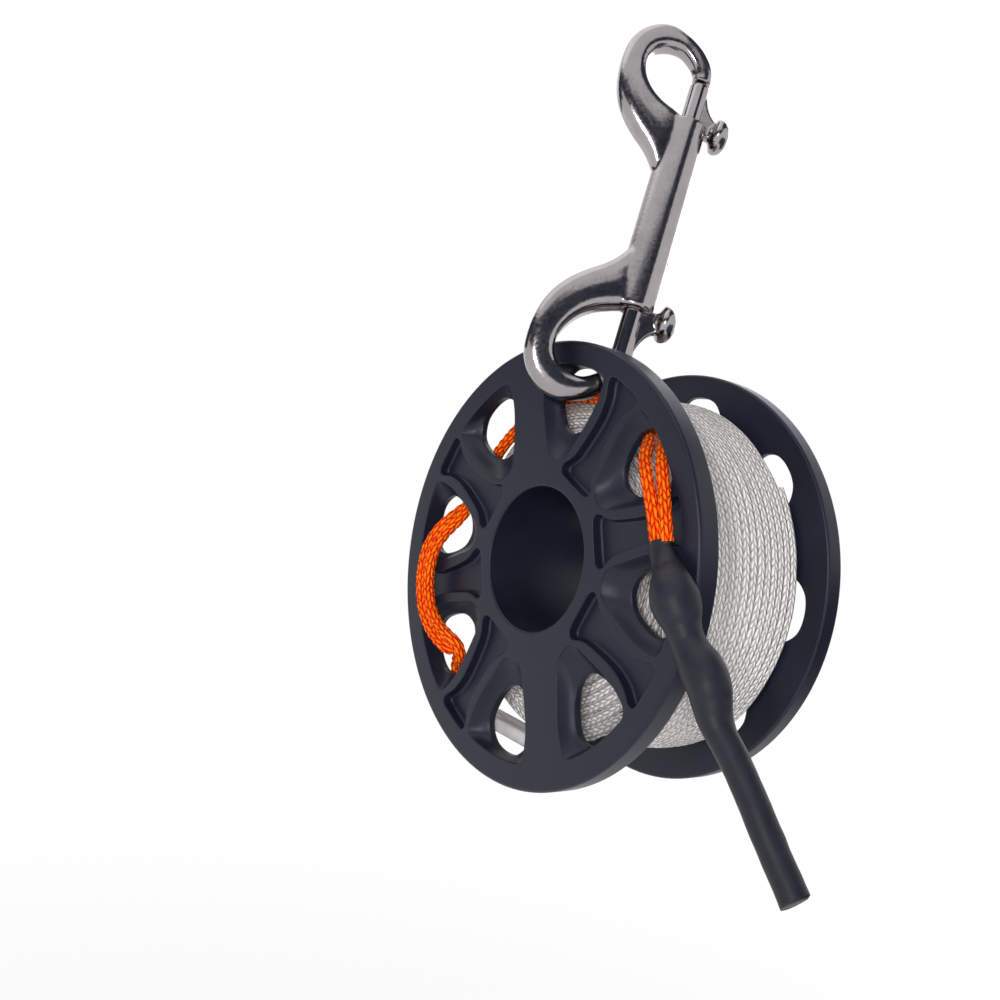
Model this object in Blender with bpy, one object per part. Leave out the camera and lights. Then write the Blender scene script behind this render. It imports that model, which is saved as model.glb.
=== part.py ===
"""Finger spool for divers, hung on a double-ended bolt snap.

Units are metres and +Z is up. The world origin is where the snap's upper eye
bears on whatever it hangs from. The reel is modelled in a frame of its own: its
origin is the centre of the front flange's face, X to the right, Y along the
spool towards the rear flange and Z up.
"""

import math

import bmesh
import bpy
from mathutils import Matrix, Vector

# spool
FLANGE_RADIUS = 0.0475
FLANGE_THICKNESS = 0.0048
SPOOL_WIDTH = 0.046
BORE_RADIUS = 0.0154
HUB_WALL = 0.0031
BORE_CHAMFER = 0.0005
RIM_ROUND = 0.0009
POCKET_COUNT = 8
POCKET_DEPTH = 0.0032
POCKET_SHOULDER_DEPTH = 0.0019
RIB_WIDTH = 0.0022
RECESS_DEPTH = 0.0024
RECESS_FLOOR_ROUND = 0.0006
RECESS_INNER_RADIUS = 0.0194
RECESS_OUTER_RADIUS = 0.0434
RECESS_OUTER_HALF_WIDTH = 0.0052
PLAIN_SPOKES = (2, 6)
FLANGE_SEGMENTS = 72

# half outlines of one pocket, as (radius, half width) shares of the flange radius
POCKET_FACE_SHARES = (
    (0.453, 0.0), (0.474, 0.058), (0.537, 0.095), (0.638, 0.147), (0.720, 0.183),
    (0.804, 0.200), (0.861, 0.194), (0.882, 0.105), (0.888, 0.0),
)
POCKET_HOLE_SHARES = (
    (0.579, 0.0), (0.594, 0.046), (0.621, 0.080), (0.684, 0.118), (0.758, 0.143),
    (0.811, 0.139), (0.863, 0.095), (0.882, 0.046), (0.886, 0.0),
)
RECESS_STEP_SHARES = (0.0, 0.13, 0.28, 0.45, 0.62, 0.78, 0.90, 1.0)
POCKET_SHOULDER_SHARE = 0.45

# wound line
LINE_DIAMETER = 0.002
WINDING_RADIUS = 0.039
WINDING_FRONT_GAP = 0.0047
WINDING_START_RADIUS = 0.0278
WINDING_SHOULDER_ROUND = 0.006
WINDING_SHOULDER_STEPS = 6
WINDING_LOOPS = 15
WINDING_LOOP_POINTS = 24
WINDING_NEXT_TURN_POINTS = 21
WINDING_START_ANGLE = math.radians(40.0)
CORE_SEGMENTS = 48

# fits
FIT_GAP = 0.0003
OVERRUN = 0.001
MERGE_DISTANCE = 0.00001
SMOOTH_ANGLE = math.radians(35.0)
CURVE_STEPS = 6

# connector between line and leader
CONNECTOR_LENGTH = 0.028
CONNECTOR_WIDTH = 0.006
CONNECTOR_THICKNESS = 0.0028
CONNECTOR_CENTRE = (-0.0030, 0.0082, -0.0389)
CONNECTOR_CORNER = 0.0008
CONNECTOR_SLOT_END = 0.0085
CONNECTOR_SLOT_WIDTH = 0.0016
LINE_HOLE_DIAMETER = 0.0028
LEADER_HOLE_DIAMETER = 0.0037
LINE_HOLE_INSET = 0.0025
LEADER_HOLE_INSET = 0.0029

# leader and sleeves
LEADER_DIAMETER = 0.003
LEADER_STRAND_SPACING = 0.0035
LEADER_POINT_SPACING = 0.0039
LINE_POINT_SPACING = 0.0026
LOOP_POINT_SPACING = 0.002
KNOT_OFFSET = (-0.0082, 0.0001, 0.0005)
KNOT_HALF_SIZES = (0.0036, 0.0029, 0.0030)
KNOT_GROOVE_SHARE = 0.10
KNOT_WRAPS = 3
KNOT_SEGMENTS = 16
KNOT_RINGS = 12
KNOT_LOOP_SIDES = 10
SLEEVE_SIDES = 16

# middle line of the two leader strands, knot first, in the reel's frame
LEADER_ROUTE = (
    (-0.0251, 0.0080, -0.0356), (-0.0270, 0.0076, -0.0329), (-0.0268, 0.0070, -0.0300),
    (-0.0250, 0.0056, -0.0274), (-0.0236, 0.0034, -0.0254), (-0.0240, 0.0010, -0.0239),
    (-0.0262, -0.0009, -0.0226), (-0.0294, -0.0018, -0.0200), (-0.0326, -0.0019, -0.0154),
    (-0.0342, -0.0019, -0.0100), (-0.0340, -0.0015, -0.0056), (-0.0332, 0.0002, -0.0028),
    (-0.0328, 0.0028, -0.0004), (-0.0332, 0.0056, 0.0020), (-0.0342, 0.0077, 0.0048),
    (-0.0351, 0.0080, 0.0086), (-0.0340, 0.0080, 0.0124), (-0.0303, 0.0080, 0.0197),
    (-0.0251, 0.0080, 0.0260), (-0.0186, 0.0080, 0.0310), (-0.0112, 0.0080, 0.0344),
    (-0.0032, 0.0080, 0.0360), (0.0050, 0.0080, 0.0358), (0.0124, 0.0080, 0.0340),
    (0.0182, 0.0077, 0.0315), (0.0222, 0.0070, 0.0292), (0.0254, 0.0046, 0.0270),
    (0.0280, 0.0016, 0.0244), (0.0300, -0.0005, 0.0216), (0.0318, -0.0018, 0.0192),
    (0.0342, -0.0020, 0.0160), (0.0360, -0.0020, 0.0137), (0.0371, -0.0020, 0.0123),
)
# how far each strand is turned about that line, from beside to behind, in degrees
LEADER_TWIST = (
    0, 0, 0, 0, 0, 0, 0, 0, 0, 0, 0, 0, 0, 5, 25, 46, 46, 46, 46, 46, 46, 46, 46, 46,
    40, 22, 5, 0, 0, 0, 0, 0, 0,
)
# loop of leader out of the knot and back, from the middle of the leader's hole
KNOT_LOOP_ROUTE = (
    (-0.0077, 0.0001, 0.0013), (-0.0045, 0.0, 0.0031), (-0.0022, 0.0, 0.0036),
    (-0.0005, 0.0, 0.0029), (0.0, 0.0, 0.0014), (0.0, 0.0, 0.0),
    (0.0, 0.0, -0.0015), (-0.0007, 0.0, -0.0031), (-0.0024, 0.0, -0.0038),
    (-0.0049, 0.0, -0.0028), (-0.0077, 0.0001, -0.0001),
)
# line from the winding to its sleeve
TAIL_ROUTE = (
    (0.0241, 0.0099, 0.0145), (0.0248, 0.0088, 0.0132), (0.0260, 0.0077, 0.0116),
    (0.0276, 0.0069, 0.0097), (0.0300, 0.0066, 0.0071),
    (0.0321, 0.0065, 0.0050), (0.0345, 0.0068, -0.0014), (0.0357, 0.0076, -0.0090),
    (0.0357, 0.0085, -0.0158), (0.0347, 0.0090, -0.0214), (0.0333, 0.0093, -0.0254),
    (0.0316, 0.0092, -0.0282), (0.0302, 0.0090, -0.0298),
)
# loop of line from its sleeve and back, from the middle of the line's hole
LINE_LOOP_ROUTE = (
    (0.0101, 0.0, 0.0039), (0.0083, 0.0, 0.0031), (0.0055, 0.0, 0.0026),
    (0.0023, 0.0, 0.0031), (0.0007, 0.0, 0.0027), (0.0, 0.0, 0.0014),
    (0.0, 0.0, 0.0), (0.0, 0.0, -0.0015), (0.0007, 0.0, -0.0029),
    (0.0025, 0.0, -0.0037), (0.0053, 0.0, -0.0032), (0.0085, 0.0, -0.0011),
    (0.0113, 0.0, 0.0014),
)
# shrunk sleeve over the line's knot: place from the middle of the line's hole, half width
# across it and half depth
LINE_SLEEVE_STATIONS = (
    ((0.0214, 0.0007, 0.0088), 0.0017, 0.0017), ((0.0200, 0.0005, 0.0076), 0.0020, 0.0020),
    ((0.0180, 0.0003, 0.0063), 0.0028, 0.0026), ((0.0160, 0.0002, 0.0051), 0.0029, 0.0027),
    ((0.0140, 0.0001, 0.0040), 0.0025, 0.0022), ((0.0113, 0.0, 0.0027), 0.0026, 0.0018),
)
# shrunk sleeve at the leader's end: place, half width across it and half depth
LEADER_SLEEVE_STATIONS = (
    ((0.0378, -0.0021, 0.0111), 0.0035, 0.0018), ((0.0400, -0.0024, 0.0088), 0.0038, 0.0021),
    ((0.0425, -0.0036, 0.0068), 0.0042, 0.0032), ((0.0460, -0.0053, 0.0043), 0.0050, 0.0048),
    ((0.0492, -0.0060, 0.0020), 0.0055, 0.0054), ((0.0512, -0.0058, -0.0008), 0.0053, 0.0052),
    ((0.0529, -0.0052, -0.0037), 0.0043, 0.0044), ((0.0560, -0.0048, -0.0068), 0.0041, 0.0042),
    ((0.0598, -0.0046, -0.0105), 0.0044, 0.0044), ((0.0622, -0.0045, -0.0132), 0.0041, 0.0040),
    ((0.0642, -0.0044, -0.0157), 0.0034, 0.0034), ((0.0678, -0.0042, -0.0192), 0.0030, 0.0030),
    ((0.0773, -0.0040, -0.0283), 0.0029, 0.0029), ((0.0848, -0.0038, -0.0358), 0.0029, 0.0029),
    ((0.0856, -0.0038, -0.0366), 0.0025, 0.0025),
)

# bolt snap
SNAP_LENGTH = 0.098
BARREL_LENGTH = 0.0476
BARREL_RADIUS = 0.0039
BARREL_CHAMFER = 0.0006
BARREL_SIDES = 32
BOLT_RADIUS = 0.00205
BOLT_REACH = 0.0361
BOLT_TAIL = 0.0195
BOLT_TRAVEL = 0.012
BOLT_CLEARANCE = 0.0003
BOLT_SIDES = 20
BORE_DIVIDER = 0.0015
KNOB_PLACE = 0.0243
KNOB_WEB_FRONT = 0.0068
KNOB_WEB_THICKNESS = 0.0024
KNOB_STEM_BACK = 0.0013
KNOB_CAP_RADIUS = 0.0038
KNOB_CAP_BASE = 0.0056
KNOB_CAP_TOP = 0.0094
KNOB_CAP_EDGE = 0.0010
KNOB_SEGMENTS = 24
KNOB_ROUNDS = 5
SLOT_CLEARANCE = 0.0004
SPRING_WIRE_RADIUS = 0.00025
SPRING_COIL_RADIUS = 0.00165
SPRING_CURLS = 7
SPRING_CURL_POINTS = 8

# middle line and wire radius of a hook: (along, across, radius) shares of the snap's length
HOOK_SHARES = (
    (0.120, 0.012, 0.030), (0.160, 0.045, 0.040), (0.200, 0.077, 0.041), (0.250, 0.116, 0.039),
    (0.300, 0.149, 0.036), (0.350, 0.166, 0.034), (0.400, 0.165, 0.033), (0.440, 0.142, 0.0325),
    (0.462, 0.104, 0.0315), (0.458, 0.060, 0.0270), (0.434, 0.021, 0.0220),
    (0.404, 0.003, 0.0208), (0.3725, 0.0, 0.0205),
)
HOOK_RINGS = 22
HOOK_SIDES = 12
HOOK_CURVE_STEPS = 8
EYE_BEARING_SHARES = (0.430, 0.072)
BARREL_BACK_SHARE = 0.25

# how the snap stands on the reel: its bolt line's middle, measured up from the outer
# edge of the top pocket, the way its barrel points and the way its hooks' backs point
SNAP_SIDEWAYS = -0.0022
SNAP_BEHIND_FACE = 0.0176
SNAP_RISE = 0.038115
SNAP_UP_SHARES = (-0.146, 0.227, 0.963)
SNAP_BACK_SHARES = (-0.597, -0.796, 0.097)

# where the reel swings on the lower hook, halfway through the front flange
PIVOT_SIDEWAYS = 0.0022
PIVOT_SHARE = 0.8


def clear_scene():
    for obj in list(bpy.data.objects):
        bpy.data.objects.remove(obj, do_unlink=True)


def material(name, colour, roughness, metallic=0.0):
    mat = bpy.data.materials.new(name)
    mat.use_nodes = True
    shader = mat.node_tree.nodes["Principled BSDF"]
    shader.inputs["Base Color"].default_value = (*colour, 1.0)
    shader.inputs["Roughness"].default_value = roughness
    shader.inputs["Metallic"].default_value = metallic
    mat.diffuse_color = (*colour, 1.0)
    return mat


def add_object(name, data, mat=None, parent=None, location=(0, 0, 0)):
    obj = bpy.data.objects.new(name, data)
    bpy.context.scene.collection.objects.link(obj)
    if mat:
        data.materials.append(mat)
    obj.parent = parent
    obj.location = location
    return obj


def finish_mesh(name, bm):
    bmesh.ops.recalc_face_normals(bm, faces=bm.faces)
    mesh = bpy.data.meshes.new(name)
    bm.to_mesh(mesh)
    bm.free()
    mesh.shade_smooth()
    mesh.set_sharp_from_angle(angle=SMOOTH_ANGLE)
    return mesh


def turned_mesh(name, profile, segments, axis=(0, 1, 0)):
    """Turn a closed profile of (radius, along) points about the axis."""
    bm = bmesh.new()
    along = Vector(axis)
    out = Vector((1, 0, 0))
    verts = [bm.verts.new(out * radius + along * place) for radius, place in profile]
    edges = [bm.edges.new((a, b)) for a, b in zip(verts, verts[1:] + verts[:1])]
    bmesh.ops.spin(
        bm, geom=verts + edges, cent=(0, 0, 0), axis=along, angle=math.tau,
        steps=segments, use_merge=True,
    )
    bmesh.ops.remove_doubles(bm, verts=bm.verts, dist=MERGE_DISTANCE)
    return finish_mesh(name, bm)


def add_loft(bm, rings):
    """Skin a row of rings of equal length and close both ends."""
    rows = [[bm.verts.new(point) for point in ring] for ring in rings]
    for low, high in zip(rows, rows[1:]):
        for i, vert in enumerate(low):
            j = (i + 1) % len(low)
            bm.faces.new((vert, low[j], high[j], high[i]))
    bm.faces.new(reversed(rows[0]))
    bm.faces.new(rows[-1])


def tangents(points):
    ahead = points[1:] + points[-1:]
    behind = points[:1] + points[:-1]
    return [(a - b).normalized() for a, b in zip(ahead, behind)]


def oval_rings(points, half_widths, half_depths, depth_way, sides):
    """Rings square to a path, wide across depth_way and deep along it."""
    rings = []
    for point, tangent, width, depth in zip(points, tangents(points), half_widths, half_depths):
        across = tangent.cross(depth_way).normalized()
        deep = across.cross(tangent)
        ring = []
        for i in range(sides):
            turn = math.tau * i / sides
            ring.append(point + across * width * math.cos(turn) + deep * depth * math.sin(turn))
        rings.append(ring)
    return rings


def smooth_points(points, steps):
    """Points on a smooth curve through the given ones, steps to each stretch."""
    vectors = [Vector(point) for point in points]
    padded = [2 * vectors[0] - vectors[1], *vectors, 2 * vectors[-1] - vectors[-2]]
    curve = []
    for p0, p1, p2, p3 in zip(padded, padded[1:], padded[2:], padded[3:]):
        for step in range(steps):
            t = step / steps
            curve.append(0.5 * (
                2 * p1 + (p2 - p0) * t + (2 * p0 - 5 * p1 + 4 * p2 - p3) * t ** 2
                + (3 * p1 - p0 - 3 * p2 + p3) * t ** 3
            ))
    curve.append(vectors[-1])
    return curve


def spaced_points(curve, spacing):
    """The same curve with points at an even distance near the given one."""
    lengths = [0.0]
    for a, b in zip(curve, curve[1:]):
        lengths.append(lengths[-1] + (b - a).length)
    count = max(2, round(lengths[-1] / spacing))
    spaced = []
    place = 0
    for i in range(count + 1):
        target = lengths[-1] * i / count
        while place < len(curve) - 2 and lengths[place + 1] < target:
            place += 1
        share = (target - lengths[place]) / (lengths[place + 1] - lengths[place])
        spaced.append(curve[place].lerp(curve[place + 1], min(1.0, share)))
    return spaced


def tube_object(name, points, radius, resolution, mat, parent, location):
    data = bpy.data.curves.new(name, "CURVE")
    data.dimensions = "3D"
    data.bevel_depth = radius
    data.bevel_resolution = resolution
    data.use_fill_caps = True
    spline = data.splines.new("POLY")
    spline.points.add(len(points) - 1)
    for target, point in zip(spline.points, points):
        target.co = (*point, 1.0)
    return add_object(name, data, mat, parent, location)


def boolean(obj, cutter, operation="DIFFERENCE"):
    cutter.hide_render = True
    cutter.display_type = "WIRE"
    modifier = obj.modifiers.new(cutter.name, "BOOLEAN")
    modifier.operation = operation
    modifier.solver = "EXACT"
    modifier.object = cutter


def flange_profile():
    """Section of a plain flange, front face at zero, from the bore outwards."""
    outer = FLANGE_RADIUS
    thick = FLANGE_THICKNESS
    edge = RIM_ROUND
    lean = edge * (1 - math.sqrt(0.5))
    return [
        (BORE_RADIUS + BORE_CHAMFER, 0), (outer - edge, 0), (outer - lean, lean), (outer, edge),
        (outer, thick - edge), (outer - lean, thick - lean), (outer - edge, thick),
        (BORE_RADIUS, thick), (BORE_RADIUS, BORE_CHAMFER),
    ]


def face_point(radius, sideways, depth, angle):
    """A point on the flange: radius along the spoke's angle, sideways across it."""
    out = Vector((math.cos(angle), 0, math.sin(angle)))
    side = Vector((-math.sin(angle), 0, math.cos(angle)))
    return out * radius + side * sideways + Vector((0, depth, 0))


def whole_outline(half):
    return list(half) + [(radius, -width) for radius, width in reversed(half[1:-1])]


def mixed(low, high, share):
    return [tuple(a + (b - a) * share for a, b in zip(p, q)) for p, q in zip(low, high)]


def pocket_rings(angle):
    """Funnel from the pocket's edge on the face down to its through hole."""
    face = whole_outline(POCKET_FACE_SHARES)
    hole = whole_outline(POCKET_HOLE_SHARES)
    shoulder = mixed(face, hole, POCKET_SHOULDER_SHARE)
    levels = (
        (face, -OVERRUN), (face, 0), (shoulder, POCKET_SHOULDER_DEPTH), (hole, POCKET_DEPTH),
        (hole, FLANGE_THICKNESS + OVERRUN),
    )
    return [
        [face_point(r * FLANGE_RADIUS, w * FLANGE_RADIUS, depth, angle) for r, w in outline]
        for outline, depth in levels
    ]


def pocket_half_width(radius):
    """Half width of a pocket on the face, at a radius, nothing inside its tip."""
    share = radius / FLANGE_RADIUS
    side = POCKET_FACE_SHARES[:-2]
    if share <= side[0][0]:
        return 0.0
    for (r0, w0), (r1, w1) in zip(side, side[1:]):
        if share <= r1:
            return FLANGE_RADIUS * (w0 + (w1 - w0) * (share - r0) / (r1 - r0))
    return FLANGE_RADIUS * side[-1][1]


def recess_half_angle(radius):
    """Half angle of the hollow between two ribs, at a radius."""
    if radius > RECESS_OUTER_RADIUS - RIB_WIDTH:
        return math.asin(RECESS_OUTER_HALF_WIDTH / radius)
    pocket = math.asin(pocket_half_width(radius) / radius)
    return math.pi / POCKET_COUNT - pocket - RIB_WIDTH / radius


def recess_rings(angle):
    """Waisted blind hollow between two ribs, its floor's edge rounded."""
    depth = RECESS_DEPTH
    inset = RECESS_FLOOR_ROUND
    levels = ((0.0, -OVERRUN), (0.0, 0), (0.0, depth - inset), (inset, depth))
    span = RECESS_OUTER_RADIUS - RECESS_INNER_RADIUS
    rings = []
    for pull, level in levels:
        side = []
        for share in RECESS_STEP_SHARES:
            radius = RECESS_INNER_RADIUS + span * share
            half = recess_half_angle(radius) - pull / radius
            side.append((radius + pull * (1 - 2 * share), half))
        outline = side + [(radius, -half) for radius, half in reversed(side)]
        rings.append([face_point(r, 0, level, angle + turn) for r, turn in outline])
    return rings


def flange_cutter(name, parent, location):
    bm = bmesh.new()
    pitch = math.tau / POCKET_COUNT
    for i in range(POCKET_COUNT):
        add_loft(bm, pocket_rings(pitch * i))
        if i not in PLAIN_SPOKES:
            add_loft(bm, recess_rings(pitch * (i + 0.5)))
    return add_object(name, finish_mesh(name, bm), None, parent, location)


def make_flange(name, mat, parent, location, mirrored):
    """A flange; the mirrored one faces the other way along the spool."""
    mesh = turned_mesh(name, flange_profile(), FLANGE_SEGMENTS)
    flange = add_object(name, mesh, mat, parent, location)
    cutter = flange_cutter(name + "_pockets", parent, location)
    if mirrored:
        flip = Matrix.Translation((0, SPOOL_WIDTH, 0)) @ Matrix.Scale(-1, 4, (0, 1, 0))
        for obj in (flange, cutter):
            obj.data.transform(flip)
            obj.data.flip_normals()
    boolean(flange, cutter)
    return flange


def make_hub_tube(mat, parent, location):
    start = FLANGE_THICKNESS + FIT_GAP
    end = SPOOL_WIDTH - start
    outer = BORE_RADIUS + HUB_WALL
    profile = [(BORE_RADIUS, start), (outer, start), (outer, end), (BORE_RADIUS, end)]
    mesh = turned_mesh("hub_tube", profile, CORE_SEGMENTS)
    return add_object("hub_tube", mesh, mat, parent, location)


def winding_section(sink=0.0):
    """Front side, rounded shoulder and outside of the outer turns' middle line.

    The corners are (along, radius) points. A sink moves them into the winding.
    """
    line = LINE_DIAMETER / 2
    front = FLANGE_THICKNESS + WINDING_FRONT_GAP + line
    rear = SPOOL_WIDTH - FLANGE_THICKNESS - FIT_GAP - line
    outer = WINDING_RADIUS - line
    bend = WINDING_SHOULDER_ROUND
    corners = [(front + sink, WINDING_START_RADIUS)]
    for i in range(WINDING_SHOULDER_STEPS + 1):
        lean = math.pi / 2 * i / WINDING_SHOULDER_STEPS
        corners.append((
            front + bend - (bend - sink) * math.cos(lean),
            outer - bend + (bend - sink) * math.sin(lean),
        ))
    corners.append((rear, outer - sink))
    return corners


def section_point(corners, distance):
    """The (along, radius) point at a distance along the section."""
    for (y0, r0), (y1, r1) in zip(corners, corners[1:]):
        length = math.hypot(y1 - y0, r1 - r0)
        if distance <= length or (y1, r1) == corners[-1]:
            share = min(1.0, distance / length)
            return y0 + (y1 - y0) * share, r0 + (r1 - r0) * share
        distance -= length
    return corners[-1]


def winding_points():
    """One unbroken line round the outer turns, both its ends straight."""
    corners = winding_section()
    length = sum(math.dist(a, b) for a, b in zip(corners, corners[1:]))
    count = WINDING_LOOPS * WINDING_LOOP_POINTS
    points = []
    for i in range(count + 1):
        along, radius = section_point(corners, length * i / count)
        turn = WINDING_START_ANGLE + math.tau * i / WINDING_LOOP_POINTS
        points.append(Vector((radius * math.cos(turn), along, radius * math.sin(turn))))
    first = Vector((math.sin(WINDING_START_ANGLE), 0, -math.cos(WINDING_START_ANGLE)))
    last = (points[-1] - points[-2]).normalized()
    return [points[0] + first * LINE_DIAMETER, *points, points[-1] + last * LINE_DIAMETER]


def least_gap(points, diameter):
    """Least clear distance between turns of a winding, measured on its points."""
    least = min(
        (a - b).length
        for i, a in enumerate(points)
        for b in points[i + WINDING_NEXT_TURN_POINTS:i + 2 * WINDING_LOOP_POINTS]
    )
    return least - diameter


def make_line_core(mat, parent, location):
    """The turns below the outer ones, as one turned body."""
    inner = BORE_RADIUS + HUB_WALL + FIT_GAP
    chord_dip = WINDING_RADIUS * (1 - math.cos(math.pi / WINDING_LOOP_POINTS))
    section = winding_section(LINE_DIAMETER / 2 + FIT_GAP + chord_dip)
    front = section[0][0]
    rear = section[-1][0] + LINE_DIAMETER / 2
    profile = [(inner, front)]
    profile += [(radius, along) for along, radius in section[1:-1]]
    profile += [(section[-1][1], rear), (inner, rear)]
    mesh = turned_mesh("line_core", profile, CORE_SEGMENTS)
    return add_object("line_core", mesh, mat, parent, location)


def leader_strand_points(side):
    """One strand of the leader, beside the pair's middle line."""
    middle = smooth_points(LEADER_ROUTE, CURVE_STEPS)
    ways = tangents(middle)
    last = len(LEADER_TWIST) - 1
    strand = []
    for i, (point, way) in enumerate(zip(middle, ways)):
        place, share = divmod(i / CURVE_STEPS, 1)
        low = LEADER_TWIST[int(place)]
        high = LEADER_TWIST[min(last, int(place) + 1)]
        twist = math.radians(low + (high - low) * share)
        beside = way.cross(Vector((0, 1, 0))).normalized()
        behind = beside.cross(way)
        offset = beside * math.cos(twist) + behind * math.sin(twist)
        strand.append(point + offset * side * LEADER_STRAND_SPACING / 2)
    return spaced_points(strand, LEADER_POINT_SPACING)


def line_hole():
    """Middle of the connector's hole for the line."""
    x, y, z = CONNECTOR_CENTRE
    return x + CONNECTOR_LENGTH / 2 - LINE_HOLE_INSET, y, z


def leader_hole():
    """Middle of the connector's hole for the leader."""
    x, y, z = CONNECTOR_CENTRE
    return x - CONNECTOR_LENGTH / 2 + LEADER_HOLE_INSET, y, z


def offset_from(origin, point):
    return tuple(start + step for start, step in zip(origin, point))


def route_from(origin, route):
    return [offset_from(origin, point) for point in route]


def make_knot(mat, parent, location):
    """Knot body with its wraps as swellings, and the loop that it closes."""
    bm = bmesh.new()
    bmesh.ops.create_uvsphere(bm, u_segments=KNOT_SEGMENTS, v_segments=KNOT_RINGS, radius=1)
    centre = Vector(offset_from(leader_hole(), KNOT_OFFSET))
    for vert in bm.verts:
        swell = 1 + KNOT_GROOVE_SHARE * math.cos(math.tau * KNOT_WRAPS * vert.co.z / 2)
        shares = (vert.co.z, vert.co.y * swell, vert.co.x * swell)
        vert.co = centre + Vector(s * h for s, h in zip(shares, KNOT_HALF_SIZES))
    knot = add_object("leader_knot", finish_mesh("leader_knot", bm), mat, parent, location)
    route = route_from(leader_hole(), KNOT_LOOP_ROUTE)
    points = spaced_points(smooth_points(route, CURVE_STEPS), LOOP_POINT_SPACING)
    radii = [LEADER_DIAMETER / 2] * len(points)
    bm = bmesh.new()
    add_loft(bm, oval_rings(points, radii, radii, Vector((0, 1, 0)), KNOT_LOOP_SIDES))
    loop = add_object("knot_loop", finish_mesh("knot_loop", bm), None, parent, location)
    boolean(knot, loop, "UNION")
    return knot


def make_sleeve(name, stations, mat, parent, location):
    points = [Vector(place) for place, _, _ in stations]
    widths = [width for _, width, _ in stations]
    depths = [depth for _, _, depth in stations]
    bm = bmesh.new()
    add_loft(bm, oval_rings(points, widths, depths, Vector((0, 1, 0)), SLEEVE_SIDES))
    return add_object(name, finish_mesh(name, bm), mat, parent, location)


def cylinder(bm, radius, start, end, sides, at=(0, 0)):
    """A closed cylinder along Z from start to end."""
    matrix = Matrix.Translation((at[0], at[1], (start + end) / 2))
    bmesh.ops.create_cone(
        bm, cap_ends=True, segments=sides, radius1=radius, radius2=radius,
        depth=end - start, matrix=matrix,
    )


def box(bm, low, high):
    size = Vector(high) - Vector(low)
    middle = (Vector(high) + Vector(low)) / 2
    bmesh.ops.create_cube(bm, size=1, matrix=Matrix.Translation(middle) @ Matrix.Diagonal((*size, 1)))


def make_connector(mat, parent, location):
    """Flat slotted plate lying over the turns, a hole at either end."""
    middle = Vector(CONNECTOR_CENTRE)
    half = Vector((CONNECTOR_LENGTH, CONNECTOR_WIDTH, CONNECTOR_THICKNESS)) / 2
    bm = bmesh.new()
    box(bm, middle - half, middle + half)
    upright = [e for e in bm.edges if abs(e.verts[0].co.z - e.verts[1].co.z) > CONNECTOR_CORNER]
    bmesh.ops.bevel(
        bm, geom=upright, offset=CONNECTOR_CORNER, segments=3, profile=0.5, affect="EDGES",
    )
    plate = add_object("connector", finish_mesh("connector", bm), mat, parent, location)
    bm = bmesh.new()
    low = middle.z - half.z - OVERRUN
    high = middle.z + half.z + OVERRUN
    for hole, diameter in ((line_hole(), LINE_HOLE_DIAMETER), (leader_hole(), LEADER_HOLE_DIAMETER)):
        cylinder(bm, diameter / 2, low, high, KNOB_SEGMENTS, hole[:2])
    slot = Vector((half.x - CONNECTOR_SLOT_END, CONNECTOR_SLOT_WIDTH / 2, 0))
    box(bm, (middle.x - slot.x, middle.y - slot.y, low), (middle.x + slot.x, middle.y + slot.y, high))
    holes = add_object("connector_holes", finish_mesh("connector_holes", bm), None, parent, location)
    boolean(plate, holes)
    return plate


def snap_turn():
    """The snap's own frame: X to the hooks' backs, Z along the barrel."""
    up = Vector(SNAP_UP_SHARES).normalized()
    back = Vector(SNAP_BACK_SHARES)
    back = (back - up * back.dot(up)).normalized()
    side = up.cross(back)
    return Matrix((back, side, up)).transposed()


def snap_place(along_share, across_share):
    """A point in the snap's frame, given as shares of its length."""
    return Vector((across_share * SNAP_LENGTH, 0, along_share * SNAP_LENGTH))


def snap_centre():
    """Middle of the bolt line in the reel's frame."""
    seat = FLANGE_RADIUS * POCKET_HOLE_SHARES[-1][0]
    return Vector((SNAP_SIDEWAYS, SNAP_BEHIND_FACE, seat + SNAP_RISE))


def hook_mesh_rings(end):
    """Rings of one hook, from its root in the barrel round to its tip."""
    stations = smooth_points(HOOK_SHARES, HOOK_CURVE_STEPS)
    picked = [stations[round(i * (len(stations) - 1) / HOOK_RINGS)] for i in range(HOOK_RINGS + 1)]
    points = [snap_place(end * s.x, s.y) for s in picked]
    radii = [s.z * SNAP_LENGTH for s in picked]
    return oval_rings(points, radii, radii, Vector((0, 1, 0)), HOOK_SIDES)


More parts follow.
